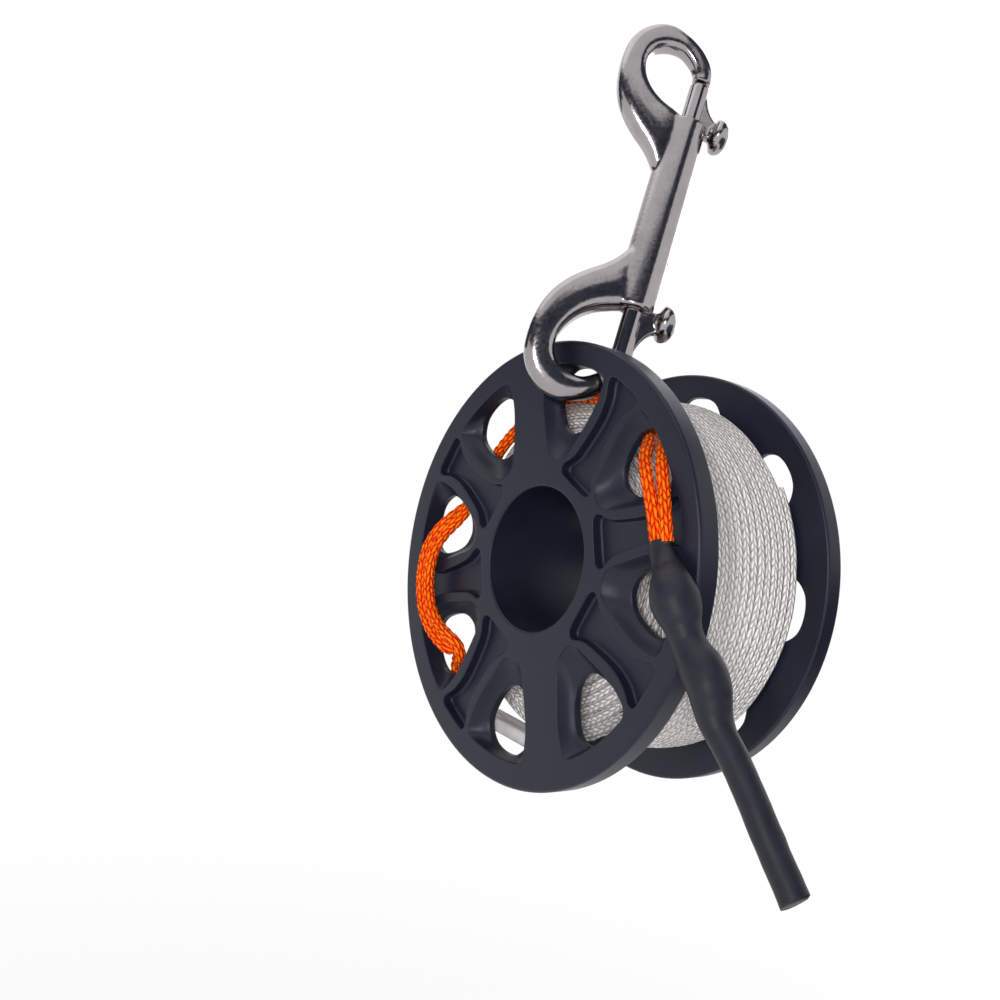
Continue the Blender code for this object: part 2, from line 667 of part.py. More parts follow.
def make_snap_body(mat, parent):
    """Barrel with a hook at either end, bored and slotted for the bolts."""
    half = BARREL_LENGTH / 2
    edge = BARREL_CHAMFER
    bm = bmesh.new()
    rings = []
    for place, radius in (
        (-half, BARREL_RADIUS - edge), (-half + edge, BARREL_RADIUS),
        (half - edge, BARREL_RADIUS), (half, BARREL_RADIUS - edge),
    ):
        turns = [math.tau * i / BARREL_SIDES for i in range(BARREL_SIDES)]
        back = BARREL_BACK_SHARE
        rings.append([
            Vector((radius * math.cos(t) * (1 + back * max(0, math.cos(t))), radius * math.sin(t), place))
            for t in turns
        ])
    add_loft(bm, rings)
    body = add_object("snap_body", finish_mesh("snap_body", bm), mat, parent)
    bm = bmesh.new()
    for end in (1, -1):
        add_loft(bm, hook_mesh_rings(end))
    hooks = add_object("snap_hooks", finish_mesh("snap_hooks", bm), None, parent)
    boolean(body, hooks, "UNION")
    bore = BOLT_RADIUS + BOLT_CLEARANCE
    bm = bmesh.new()
    for start, end in ((BORE_DIVIDER, half + OVERRUN), (-half - OVERRUN, -BORE_DIVIDER)):
        cylinder(bm, bore, start, end, BOLT_SIDES)
    bores = add_object("snap_bores", finish_mesh("snap_bores", bm), None, parent)
    boolean(body, bores)
    width = KNOB_WEB_THICKNESS / 2 + SLOT_CLEARANCE
    inner = KNOB_PLACE - KNOB_STEM_BACK - BOLT_TRAVEL - SLOT_CLEARANCE
    bm = bmesh.new()
    for end in (1, -1):
        low, high = sorted((end * inner, end * (half + OVERRUN)))
        box(bm, (-BARREL_RADIUS - OVERRUN, -width, low), (-BOLT_RADIUS / 2, width, high))
    slots = add_object("snap_slots", finish_mesh("snap_slots", bm), None, parent)
    boolean(body, slots)
    return body


def make_bolt(name, end, mat, parent):
    """A round bolt, its nose chamfered, standing out of the barrel's end."""
    edge = BARREL_CHAMFER
    profile = [
        (BOLT_RADIUS, BOLT_TAIL), (BOLT_RADIUS, BOLT_REACH - edge),
        (BOLT_RADIUS - edge, BOLT_REACH),
    ]
    bm = bmesh.new()
    rings = []
    for radius, place in profile:
        turns = [math.tau * i / BOLT_SIDES for i in range(BOLT_SIDES)]
        rings.append([Vector((radius * math.cos(t), radius * math.sin(t), end * place)) for t in turns])
    add_loft(bm, rings)
    return add_object(name, finish_mesh(name, bm), mat, parent)


def make_knob(name, end, mat, parent):
    """Thumb knob: a domed cap on a web that runs in the barrel's slot."""
    foot = -(BOLT_RADIUS + FIT_GAP)
    cap = -(KNOB_CAP_BASE + KNOB_CAP_EDGE / 2)
    half = KNOB_WEB_THICKNESS / 2
    corners = (
        (foot, KNOB_PLACE - KNOB_STEM_BACK), (foot, KNOB_PLACE + KNOB_WEB_FRONT),
        (foot - KNOB_STEM_BACK, KNOB_PLACE + KNOB_WEB_FRONT - KNOB_STEM_BACK),
        (cap, KNOB_PLACE + KNOB_STEM_BACK), (cap, KNOB_PLACE - KNOB_STEM_BACK),
    )
    bm = bmesh.new()
    add_loft(bm, [[Vector((x, y, end * z)) for x, z in corners] for y in (-half, half)])
    web = add_object(name, finish_mesh(name, bm), mat, parent)
    rise = KNOB_CAP_TOP - KNOB_CAP_BASE - KNOB_CAP_EDGE
    rings = []
    sections = [(KNOB_CAP_RADIUS - KNOB_CAP_EDGE / 2, 0.0), (KNOB_CAP_RADIUS, KNOB_CAP_EDGE)]
    for i in range(1, KNOB_ROUNDS):
        lean = math.pi / 2 * i / KNOB_ROUNDS
        sections.append((KNOB_CAP_RADIUS * math.cos(lean), KNOB_CAP_EDGE + rise * math.sin(lean)))
    for radius, height in sections:
        turns = [math.tau * i / KNOB_SEGMENTS for i in range(KNOB_SEGMENTS)]
        rings.append([
            Vector((
                -KNOB_CAP_BASE - height, radius * math.cos(t),
                end * KNOB_PLACE + radius * math.sin(t),
            ))
            for t in turns
        ])
    bm = bmesh.new()
    add_loft(bm, rings)
    dome = add_object(name + "_cap", finish_mesh(name + "_cap", bm), None, parent)
    boolean(web, dome, "UNION")
    return web


def make_spring(name, end, mat, parent):
    """Spring between the bore's bottom and the bolt's tail."""
    start = BORE_DIVIDER + FIT_GAP + SPRING_WIRE_RADIUS
    stop = BOLT_TAIL - FIT_GAP - SPRING_WIRE_RADIUS
    count = SPRING_CURLS * SPRING_CURL_POINTS
    points = []
    for i in range(count + 1):
        turn = math.tau * i / SPRING_CURL_POINTS
        place = start + (stop - start) * i / count
        points.append(Vector((
            SPRING_COIL_RADIUS * math.cos(turn), SPRING_COIL_RADIUS * math.sin(turn), end * place,
        )))
    return tube_object(name, points, SPRING_WIRE_RADIUS, 0, mat, parent, (0, 0, 0))


def build():
    clear_scene()
    plastic = material("spool_plastic", (0.037, 0.040, 0.050), 0.55)
    steel = material("snap_steel", (0.60, 0.58, 0.57), 0.18, 1.0)
    spring_steel = material("spring_steel", (0.42, 0.42, 0.43), 0.35, 1.0)
    white_line = material("white_line", (0.78, 0.77, 0.74), 0.70)
    orange_cord = material("orange_cord", (0.85, 0.13, 0.012), 0.65)
    shrink = material("shrink_sleeve", (0.042, 0.044, 0.060), 0.60)
    clear_plate = material("connector_plate", (0.62, 0.61, 0.60), 0.30)

    turn = snap_turn()
    bearing = snap_centre() + turn @ snap_place(*EYE_BEARING_SHARES)
    reel_centre = -bearing

    snap = add_object("snap_frame", None)
    snap.location = reel_centre + snap_centre()
    snap.rotation_euler = turn.to_euler()
    swing = add_object("reel_swing_axis", None)
    pivot = Vector((PIVOT_SIDEWAYS, FLANGE_THICKNESS / 2, FLANGE_RADIUS * PIVOT_SHARE))
    swing.location = reel_centre + pivot
    reel = -pivot

    make_snap_body(steel, snap)
    for place, end in (("upper", 1), ("lower", -1)):
        make_bolt(place + "_bolt", end, steel, snap)
        make_knob(place + "_thumb_knob", end, steel, snap)
        make_spring(place + "_spring", end, spring_steel, snap)

    make_flange("front_flange", plastic, swing, reel, False)
    make_flange("rear_flange", plastic, swing, reel, True)
    make_hub_tube(plastic, swing, reel)
    make_line_core(white_line, swing, reel)

    wound = winding_points()
    line = LINE_DIAMETER / 2
    tube_object("line_winding", wound, line, 1, white_line, swing, reel)
    gap = least_gap(wound, LINE_DIAMETER)
    print("least gap of line_winding to itself: %.5f m" % gap)

    leave = (wound[0] - wound[1]).normalized()
    start = wound[0] + leave * FIT_GAP
    straight = start + leave * LINE_DIAMETER / 2
    tail = spaced_points(smooth_points([straight, *TAIL_ROUTE], CURVE_STEPS), LINE_POINT_SPACING)
    tube_object("line_tail", [start, *tail], line, 1, white_line, swing, reel)
    route = route_from(line_hole(), LINE_LOOP_ROUTE)
    loop = spaced_points(smooth_points(route, CURVE_STEPS), LOOP_POINT_SPACING)
    tube_object("line_loop", loop, line, 1, white_line, swing, reel)
    stations = [
        (offset_from(line_hole(), place), width, depth)
        for place, width, depth in LINE_SLEEVE_STATIONS
    ]
    make_sleeve("line_end_sleeve", stations, shrink, swing, reel)
    make_connector(clear_plate, swing, reel)

    for name, side in (("leader_strand_inner", -1), ("leader_strand_outer", 1)):
        points = leader_strand_points(side)
        tube_object(name, points, LEADER_DIAMETER / 2, 2, orange_cord, swing, reel)
    make_knot(orange_cord, swing, reel)
    make_sleeve("leader_sleeve", LEADER_SLEEVE_STATIONS, shrink, swing, reel)


build()
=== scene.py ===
# %% [markdown]
# A diver's finger spool hangs from a double-ended bolt snap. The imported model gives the
# frame: where every node is and how it moves. This lesson gives each node its finished
# shape and surface, piece by piece, and lights it like a catalogue picture.

# %% Load the frame
import math

import bmesh
import bpy
from mathutils import Matrix, Vector, noise


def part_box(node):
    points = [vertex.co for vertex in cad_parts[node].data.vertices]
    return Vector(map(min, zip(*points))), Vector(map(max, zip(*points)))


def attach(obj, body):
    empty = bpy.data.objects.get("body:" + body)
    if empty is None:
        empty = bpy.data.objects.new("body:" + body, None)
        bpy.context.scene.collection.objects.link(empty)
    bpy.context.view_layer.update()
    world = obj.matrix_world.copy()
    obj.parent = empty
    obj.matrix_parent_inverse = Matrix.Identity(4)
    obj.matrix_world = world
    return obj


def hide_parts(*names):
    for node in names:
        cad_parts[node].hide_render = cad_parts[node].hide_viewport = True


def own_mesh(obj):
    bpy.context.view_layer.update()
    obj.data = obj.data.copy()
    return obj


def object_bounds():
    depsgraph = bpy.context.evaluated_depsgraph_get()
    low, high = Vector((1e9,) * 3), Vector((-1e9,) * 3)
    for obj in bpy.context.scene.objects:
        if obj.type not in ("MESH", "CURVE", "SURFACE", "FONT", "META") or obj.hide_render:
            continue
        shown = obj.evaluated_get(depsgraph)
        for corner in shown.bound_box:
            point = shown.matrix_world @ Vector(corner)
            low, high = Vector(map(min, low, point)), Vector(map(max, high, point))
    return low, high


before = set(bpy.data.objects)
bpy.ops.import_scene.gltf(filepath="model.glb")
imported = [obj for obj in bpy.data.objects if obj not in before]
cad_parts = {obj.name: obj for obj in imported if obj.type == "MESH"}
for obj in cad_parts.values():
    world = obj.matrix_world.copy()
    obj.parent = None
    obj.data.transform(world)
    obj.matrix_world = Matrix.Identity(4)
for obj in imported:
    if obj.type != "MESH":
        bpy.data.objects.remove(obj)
cad_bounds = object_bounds()
MM = 0.001
RIGHT, BEHIND, UP = (Vector(axis) for axis in ((1, 0, 0), (0, 1, 0), (0, 0, 1)))
low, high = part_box("front_flange")
REEL = Vector(((low.x + high.x) / 2, low.y, (low.z + high.z) / 2))
print("reel centre", [round(c, 5) for c in REEL])

# %% [markdown]
# The camera comes first, because it decides what has to look right. The photograph was
# taken from the right of the reel, close to it, so the near flange looks larger than the
# far one. A short lens with a small shift puts the object where the picture has it.

# %% Camera
CAMERA_PLACE = Vector((187.14, -157.27, 31.65)) * MM
CAMERA_RIGHT = Vector((0.70338, 0.67961, 0.20832))
CAMERA_DOWN = Vector((0.12600, 0.16923, -0.97749))
FOCAL_PIXELS = 1126.5
CENTRE_PIXELS = (680, 400)
PICTURE_PIXELS = 1000

camera_data = bpy.data.cameras.new("camera")
camera_data.sensor_width = 36
camera_data.lens = FOCAL_PIXELS / PICTURE_PIXELS * camera_data.sensor_width
camera_data.shift_x = 0.5 - CENTRE_PIXELS[0] / PICTURE_PIXELS
camera_data.shift_y = CENTRE_PIXELS[1] / PICTURE_PIXELS - 0.5
camera_data.clip_start = 0.01
camera = bpy.data.objects.new("camera", camera_data)
bpy.context.scene.collection.objects.link(camera)
forward = CAMERA_RIGHT.cross(CAMERA_DOWN)
turn = Matrix((CAMERA_RIGHT, -CAMERA_DOWN, -forward)).transposed()
camera.matrix_world = Matrix.Translation(REEL + CAMERA_PLACE) @ turn.to_4x4()
bpy.context.scene.camera = camera
bpy.context.scene.view_settings.view_transform = "Standard"
print("lens %.2f mm" % camera_data.lens)

# %% [markdown]
# A material is a small network of nodes. One function adds any node with its settings
# and its links, one fills a node's inputs, and one turns a colour as a painter names it,
# in sRGB, to linear light. A pattern's scale is a number per metre, so another function
# works it out from the width of a real spot or ripple.

# %% Helpers for materials
MATH = "ShaderNodeMath"
NOISE = "ShaderNodeTexNoise"


def linear(hex_colour):
    """A colour written in sRGB, as linear light."""
    parts = [int(hex_colour[i:i + 2], 16) / 255 for i in (1, 3, 5)]
    light = [c / 12.92 if c <= 0.04045 else ((c + 0.055) / 1.055) ** 2.4 for c in parts]
    return (*light, 1.0)


def per_width(width):
    """The scale of a pattern whose spots are about so many mm wide."""
    return 1 / (width * MM)


def feed(made, inputs):
    """Fill a node's inputs, given as (socket, value) pairs.

    A value may be another node's output, or a node, which stands for its first output.
    """
    for socket, value in inputs:
        if isinstance(value, bpy.types.Node):
            value = value.outputs[0]
        if isinstance(value, bpy.types.NodeSocket):
            made.id_data.links.new(value, made.inputs[socket])
        else:
            made.inputs[socket].default_value = value


def node(tree, kind, inputs=(), stops=(), **settings):
    """Add a node. Stops are the (place, hex colour) pairs of a colour ramp."""
    made = tree.nodes.new(kind)
    for name, value in settings.items():
        setattr(made, name, value)
    feed(made, inputs)
    if stops:
        elements = made.color_ramp.elements
        while len(elements) < len(stops):
            elements.new(0.5)
        for element, (place, colour) in zip(elements, stops):
            element.position = place
            element.color = linear(colour)
    return made


def new_material(name, roughness, metallic=0.0):
    """A material, its nodes and its Principled shader, still plain."""
    mat = bpy.data.materials.new(name)
    mat.use_nodes = True
    shader = mat.node_tree.nodes["Principled BSDF"]
    feed(shader, [("Roughness", roughness), ("Metallic", metallic)])
    return mat, mat.node_tree, shader


print("grain of 0.4 mm has scale", per_width(0.4))

# %% [markdown]
# The spool is moulded ABS, dark grey with a hint of blue. Its skin has the fine spark
# eroded grain of the mould: too fine to see singly, but it breaks the shine up, and
# handling leaves slightly smoother patches. Grain as fine as the real one would vanish
# in the picture, so it is drawn a few times coarser.

# %% Moulded spool plastic
def moulded_plastic():
    mat, tree, shader = new_material("moulded_abs_dark_grey", 0.5)
    place = node(tree, "ShaderNodeTexCoord").outputs["Object"]
    grain = node(tree, NOISE, [("Vector", place), ("Scale", per_width(0.385)), ("Detail", 2)])
    patches = node(tree, NOISE, [("Vector", place), ("Scale", per_width(14.3)), ("Detail", 4)])
    colour = node(tree, "ShaderNodeValToRGB", [("Fac", patches)],
                  stops=[(0.3, "#131623"), (0.7, "#191d2b")])
    rough = node(tree, "ShaderNodeMapRange", [
        ("Value", patches), ("From Min", 0.3), ("From Max", 0.7),
        ("To Min", 0.36), ("To Max", 0.46),
    ])
    bump = node(tree, "ShaderNodeBump", [
        ("Height", grain), ("Strength", 0.25), ("Distance", 0.06 * MM),
    ])
    feed(shader, [
        ("Base Color", colour), ("Roughness", rough), ("Normal", bump),
        ("Specular IOR Level", 0.34),
    ])
    return mat


spool_plastic = moulded_plastic()
print("made", spool_plastic.name)

# %% [markdown]
# The snap is cast stainless steel, tumbled and polished. Polished metal shows its
# surroundings, so most of its look is in the lights. What it has of its own is a warm
# grey, faint ripples from the casting, about 6 mm wide, and fine wear pits.

# %% Polished cast steel
def polished_steel(name, ripple, roughness):
    """Ripple is the height of the casting's ripples in mm."""
    mat, tree, shader = new_material(name, roughness, 1.0)
    place = node(tree, "ShaderNodeTexCoord").outputs["Object"]
    waves = node(tree, NOISE, [("Vector", place), ("Scale", per_width(5.88)), ("Detail", 3)])
    pits = node(tree, NOISE, [("Vector", place), ("Scale", per_width(0.667)), ("Detail", 3)])
    colour = node(tree, "ShaderNodeValToRGB", [("Fac", waves)],
                  stops=[(0.3, "#9b9698"), (0.7, "#a8a3a3")])
    rough = node(tree, "ShaderNodeMapRange", [
        ("Value", pits), ("From Min", 0.35), ("From Max", 0.75),
        ("To Min", roughness * 0.8), ("To Max", roughness * 1.6),
    ])
    relief = node(tree, MATH, [(0, waves), (1, pits)], operation="ADD")
    bump = node(tree, "ShaderNodeBump", [
        ("Height", relief), ("Strength", 0.3), ("Distance", ripple * MM),
    ])
    feed(shader, [("Base Color", colour), ("Roughness", rough), ("Normal", bump)])
    return mat


cast_steel = polished_steel("polished_cast_stainless", 0.03, 0.15)
drawn_steel = polished_steel("polished_drawn_stainless", 0.02, 0.10)
spring_wire = polished_steel("bright_spring_wire", 0.01, 0.22)
print("made", cast_steel.name, drawn_steel.name, spring_wire.name)

# %% [markdown]
# Braided cord shows rows of small V-shaped stitches that run along it. The cord's own UV
# map says how far along, in millimetres, and how far round a point is, so one pattern
# serves the thin white line and the coarse orange leader. Strands that cross the cord one
# way and the other show as slanted stitches, in columns that lean by turns to the left and
# to the right, half a stitch apart. The colour is painted darker in the valleys between
# strands, as painted shade, and lighter on their crests, as painted highlight.

# %% Braided cord
BRAID_COLUMNS = 8
BRAID_LEAN = 0.55
LINE_STITCH = 1.9
LEADER_STITCH = 2.3
STRAND_POWER = 0.9
COLUMN_POWER = 0.7


def braid(name, stitch, stops, depth, roughness):
    """Stitch is a stitch's length and depth its height, in mm."""
    mat, tree, shader = new_material(name, roughness)
    uv = node(tree, "ShaderNodeUVMap", uv_map="cord_uv")
    parts = node(tree, "ShaderNodeSeparateXYZ", [("Vector", uv)])
    along = node(tree, MATH, [(0, parts.outputs["X"]), (1, stitch)], operation="DIVIDE")
    around = node(tree, MATH, [(0, parts.outputs["Y"]), (1, BRAID_COLUMNS)],
                  operation="MULTIPLY")
    column = node(tree, MATH, [(0, around)], operation="FLOOR")
    share = node(tree, MATH, [(0, around)], operation="FRACT")
    inside = node(tree, MATH, [(0, share), (1, 0.5)], operation="SUBTRACT")
    parity = node(tree, MATH, [(0, column), (1, 2)], operation="MODULO")
    side = node(tree, MATH, [(0, parity), (1, 2), (2, -1)], operation="MULTIPLY_ADD")
    lean = node(tree, MATH, [(0, inside), (1, side)], operation="MULTIPLY")
    wander = node(tree, NOISE, [("Vector", uv), ("Scale", 0.35), ("Detail", 2)])
    slide = along
    for shift, weight in ((lean, BRAID_LEAN), (column, 0.5), (wander, 1.2)):
        slide = node(tree, MATH, [(0, shift), (1, weight), (2, slide)],
                     operation="MULTIPLY_ADD")

    row = node(tree, MATH, [(0, slide)], operation="FLOOR")
    which = node(tree, "ShaderNodeCombineXYZ", [("X", row), ("Y", column)])
    tone = node(tree, "ShaderNodeTexWhiteNoise", [("Vector", which)])
    place = node(tree, MATH, [(0, slide)], operation="FRACT")
    half_turns = [
        node(tree, MATH, [(0, part), (1, math.pi)], operation="MULTIPLY")
        for part in (place, inside)
    ]
    strand = node(tree, MATH, [(0, half_turns[0])], operation="SINE")
    bulge = node(tree, MATH, [(0, half_turns[1])], operation="COSINE")
    crests = [
        node(tree, MATH, [(0, wave), (1, power)], operation="POWER")
        for wave, power in ((strand, STRAND_POWER), (bulge, COLUMN_POWER))
    ]
    height = node(tree, MATH, [(0, crests[0]), (1, crests[1])], operation="MULTIPLY")
    fuzz = node(tree, NOISE, [("Vector", uv), ("Scale", 2.2), ("Detail", 4)])
    relief_and_painted_shade = node(tree, MATH, [(0, fuzz), (1, 0.22), (2, height)], operation="MULTIPLY_ADD")
    light = node(tree, MATH, [(0, tone), (1, 0.3), (2, 0.7)], operation="MULTIPLY_ADD")
    shade = node(tree, MATH, [(0, relief_and_painted_shade), (1, light)], operation="MULTIPLY")
    # Painted shade and highlight: the colour follows the stitches' relief, darker in the valleys
    # between strands and lighter on their crests.
    colour = node(tree, "ShaderNodeValToRGB", [("Fac", shade)], stops=stops)
    bump = node(tree, "ShaderNodeBump", [
        ("Height", relief_and_painted_shade), ("Strength", 0.9), ("Distance", depth * MM),
    ])
    feed(shader, [("Base Color", colour), ("Normal", bump), ("Specular IOR Level", 0.15)])
    return mat


# The lowest stops are painted shade in the valleys, the highest painted highlight on the crests.
white_braid = braid(
    "braided_white_nylon", LINE_STITCH,
    [(0.1, "#a39e9c"), (0.4, "#cdc9c6"), (0.8, "#efece9")], 0.35, 0.45,
)
orange_braid = braid(
    "braided_orange_cord", LEADER_STITCH,
    [(0.1, "#a01000"), (0.38, "#fb4200"), (0.8, "#ff8208")], 0.4, 0.6,
)
print("made", white_braid.name, orange_braid.name)

# %% [markdown]
# The sleeves are shrunk polyolefin tube. Heat pulls it tight over the knots below, so it
# keeps their lumps, and its skin stays matte with a few soft creases about 4 mm apart.

# %% Shrunk tube
def shrunk_tube():
    mat, tree, shader = new_material("shrunk_polyolefin_tube", 0.5)
    place = node(tree, "ShaderNodeTexCoord").outputs["Object"]
    creases = node(tree, NOISE, [("Vector", place), ("Scale", per_width(3.85)), ("Detail", 3)])
    skin = node(tree, NOISE, [("Vector", place), ("Scale", per_width(0.4)), ("Detail", 2)])
    colour = node(tree, "ShaderNodeValToRGB", [("Fac", creases)],
                  stops=[(0.3, "#15161f"), (0.7, "#1c1d28")])
    relief = node(tree, MATH, [(0, creases), (1, skin)], operation="MULTIPLY")
    bump = node(tree, "ShaderNodeBump", [
        ("Height", relief), ("Strength", 0.3), ("Distance", 0.2 * MM),
    ])
    feed(shader, [("Base Color", colour), ("Normal", bump), ("Specular IOR Level", 0.35)])
    return mat


shrink_sleeve = shrunk_tube()
print("made", shrink_sleeve.name)

# %% [markdown]
# The connector is a clear plastic moulding that has gone slightly milky. A part of the
# light goes through it and the rest comes back from its surface.

# %% Milky plastic
def milky_plastic():
    mat, tree, shader = new_material("moulded_milky_acetal", 0.25)
    place = node(tree, "ShaderNodeTexCoord").outputs["Object"]
    flow = node(tree, NOISE, [("Vector", place), ("Scale", per_width(4.17)), ("Detail", 3)])
    colour = node(tree, "ShaderNodeValToRGB", [("Fac", flow)],
                  stops=[(0.3, "#d2d0cf"), (0.7, "#eceae9")])
    bump = node(tree, "ShaderNodeBump", [
        ("Height", flow), ("Strength", 0.2), ("Distance", 0.1 * MM),
    ])
    feed(shader, [("Base Color", colour), ("Normal", bump), ("Transmission Weight", 0.35)])
    return mat


clear_plate = milky_plastic()
print("made", clear_plate.name)

# %% [markdown]
# Every piece ends the same way: its mesh gets a name, a material, smooth shading broken
# at real edges and a body to ride on, and the CAD node that it stands for is hidden. Cutters
# and parts of a casting stay loose until they are used up.

# %% Helpers for pieces
def loose_piece(name, bm, mat, sharp=35):
    """A shaded mesh object. Edges sharper than so many degrees stay crisp."""
    bmesh.ops.recalc_face_normals(bm, faces=bm.faces)
    mesh = bpy.data.meshes.new(name)
    bm.to_mesh(mesh)
    bm.free()
    mesh.materials.append(mat)
    mesh.shade_smooth()
    mesh.set_sharp_from_angle(angle=math.radians(sharp))
    piece = bpy.data.objects.new(name, mesh)
    bpy.context.scene.collection.objects.link(piece)
    return piece


def enter_piece(piece, body, replaced):
    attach(piece, body)
    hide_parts(replaced)
    print(piece.name, len(piece.data.polygons), "faces")


def finish_piece(name, bm, mat, body, replaced, sharp=35):
    piece = loose_piece(name, bm, mat, sharp)
    enter_piece(piece, body, replaced)
    return piece


def apply_modifiers(piece):
    """Replace the piece's mesh by what its modifiers make of it."""
    graph = bpy.context.evaluated_depsgraph_get()
    mesh = bpy.data.meshes.new_from_object(piece.evaluated_get(graph))
    piece.modifiers.clear()
    piece.data = mesh


def cut(piece, cutter, operation="DIFFERENCE"):
    """Cut the piece with another one, or join them, and remove the other."""
    modifier = piece.modifiers.new("cut", "BOOLEAN")
    modifier.operation = operation
    modifier.solver = "EXACT"
    modifier.object = cutter
    apply_modifiers(piece)
    bpy.data.objects.remove(cutter, do_unlink=True)


def flatten_shading(piece):
    """Keep flat faces flat where they meet rounded edges."""
    modifier = piece.modifiers.new("weighted", "WEIGHTED_NORMAL")
    modifier.keep_sharp = True
    apply_modifiers(piece)


print("piece helpers ready")

# %% [markdown]
# Outlines and cords start from a few given points. One function runs a smooth
# curve through them, and another spreads places evenly along it, so that the faces of a
# long piece are all about the same size.

# %% Helpers for curves
def smooth_curve(points, steps):
    """Points on a smooth curve through the given ones, with any number of parts each."""
    before = [tuple(2 * a - b for a, b in zip(points[0], points[1]))]
    after = [tuple(2 * a - b for a, b in zip(points[-1], points[-2]))]
    padded = before + [tuple(p) for p in points] + after
    curve = []
    for p0, p1, p2, p3 in zip(padded, padded[1:], padded[2:], padded[3:]):
        for step in range(steps):
            t = step / steps
            curve.append(tuple(
                0.5 * (2 * b + (c - a) * t + (2 * a - 5 * b + 4 * c - d) * t * t
                       + (3 * b - a - 3 * c + d) * t ** 3)
                for a, b, c, d in zip(p0, p1, p2, p3)
            ))
    curve.append(tuple(points[-1]))
    return curve


def spread_points(curve, find_count):
    """Places at even distances along a curve. The count is worked out from its length."""
    curve = [Vector(p) for p in curve]
    lengths = [0.0]
    for a, b in zip(curve, curve[1:]):
        lengths.append(lengths[-1] + (b - a).length)
    count = find_count(lengths[-1])
    points, place = [], 0
    for i in range(count + 1):
        target = lengths[-1] * i / count
        while place < len(curve) - 2 and lengths[place + 1] < target:
            place += 1
        share = (target - lengths[place]) / (lengths[place + 1] - lengths[place])
        points.append(curve[place].lerp(curve[place + 1], min(1.0, share)))
    return points


def even_points(curve, spacing):
    """The same curve as vectors, about so far apart."""
    return spread_points(curve, lambda length: max(2, round(length / spacing)))


def even_loop(outline, count, rounds):
    """A closed outline of so many even points, its corners softened by so many rounds."""
    loop = spread_points([*outline, outline[0]], lambda length: count)[:-1]
    for _ in range(rounds):
        loop = [
            (loop[i - 1] + 2 * p + loop[(i + 1) % count]) / 4 for i, p in enumerate(loop)
        ]
    return loop


def ways_along(points):
    """The way that a curve runs at each of its points."""
    before, after = points[:1] + points[:-1], points[1:] + points[-1:]
    return [(b - a).normalized() for a, b in zip(before, after)]


def reel_place(x, y, z):
    """A place on the reel in mm, from the middle of the front flange's face."""
    return REEL + Vector((x, y, z)) * MM


def clamp(value):
    return min(1, max(0, value))


def between(pair, share):
    return pair[0] + (pair[1] - pair[0]) * share


print("curve helpers ready")

# %% [markdown]
# Four ways to start a solid cover the whole object: a row of rings with a skin over
# them, a profile spun about an axis, a round rod and a block.

# %% Helpers for solids
def add_loft(bm, rings):
    """Extrude a ring of vertices through a row of rings of places, and close the ends."""
    ring = bmesh.ops.create_circle(bm, segments=len(rings[0]), radius=1, cap_ends=False)["verts"]
    for vert, place in zip(ring, rings[0]):
        vert.co = place
    edges = [e for e in bm.edges if e.verts[0] in ring and e.verts[1] in ring]
    first = list(edges)
    for places in rings[1:]:
        made = bmesh.ops.extrude_edge_only(bm, edges=edges)["geom"]
        edges = [g for g in made if isinstance(g, bmesh.types.BMEdge) and g.is_boundary]
        fresh = {g for g in made if isinstance(g, bmesh.types.BMVert)}
        ring = [
            next(e.other_vert(vert) for e in vert.link_edges if e.other_vert(vert) in fresh)
            for vert in ring
        ]
        for vert, place in zip(ring, places):
            vert.co = place
    for loop in (first, edges):
        bmesh.ops.contextual_create(bm, geom=loop)


def loft(rings):
    bm = bmesh.new()
    add_loft(bm, rings)
    return bm


def turned(profile, segments, axis, way, unit=MM):
    """Spin a closed profile of (radius, along) places about an axis."""
    bm = bmesh.new()
    verts = [bm.verts.new((way * r + axis * a) * unit) for r, a in profile]
    edges = [bm.edges.new((a, b)) for a, b in zip(verts, verts[1:] + verts[:1])]
    bmesh.ops.spin(bm, geom=verts + edges, cent=(0, 0, 0), axis=axis, angle=math.tau,
                   steps=segments, use_merge=True)
    bmesh.ops.remove_doubles(bm, verts=bm.verts, dist=0.005 * MM)
    return bm


def rod(radius, start, end):
    """A round rod along the height, from a start to an end."""
    bm = bmesh.new()
    middle = Matrix.Translation(UP * (start + end) / 2)
    bmesh.ops.create_cone(bm, cap_ends=True, segments=40, radius1=radius, radius2=radius,
                          depth=end - start, matrix=middle)
    return bm


def block(middle, size):
    bm = bmesh.new()
    bmesh.ops.create_cube(bm, size=1)
    bmesh.ops.scale(bm, vec=size, verts=bm.verts)
    bmesh.ops.translate(bm, vec=middle, verts=bm.verts)
    return bm


def ring_angles(sides):
    return [math.tau * j / sides for j in range(sides)]


print("solid helpers ready")

# %% [markdown]
# A flange is a moulded disc. Its face has eight funnels, each ending in a through hole,
# with ribs round them and shallow hollows between the ribs. On the real mould these are
# raised islands, so here a turned disc is cut by matching islands. Each island's sides
# flare at the face, which leaves the small round on every edge that catches the light.

# %% Flange outlines
SPOOL_WIDTH = 46.0
FLANGE_RADIUS = 47.9
FLANGE_THICKNESS = 4.8
BORE_RADIUS = 15.5
EDGE_ROUND = 0.3
POCKET_COUNT = 8
POCKET_POINTS = 88
RIB_WIDTH = 2.2
RECESS_INNER_RADIUS = 19.4
RECESS_OUTER_RADIUS = 43.4
RECESS_END_RADIUS = 41.2
RECESS_END_HALF_WIDTH = 5.2
RECESS_STEPS = 24
RECESS_POINTS = 96
POCKET_FACE = (  # half outlines of a funnel: (radius, half width), as shares of the flange
    (0.453, 0.0), (0.474, 0.058), (0.537, 0.095), (0.638, 0.147), (0.720, 0.183),
    (0.804, 0.200), (0.861, 0.194), (0.882, 0.105), (0.888, 0.0),
)
POCKET_HOLE = (
    (0.579, 0.0), (0.594, 0.046), (0.621, 0.080), (0.684, 0.118), (0.758, 0.143),
    (0.811, 0.139), (0.863, 0.095), (0.882, 0.046), (0.886, 0.0),
)


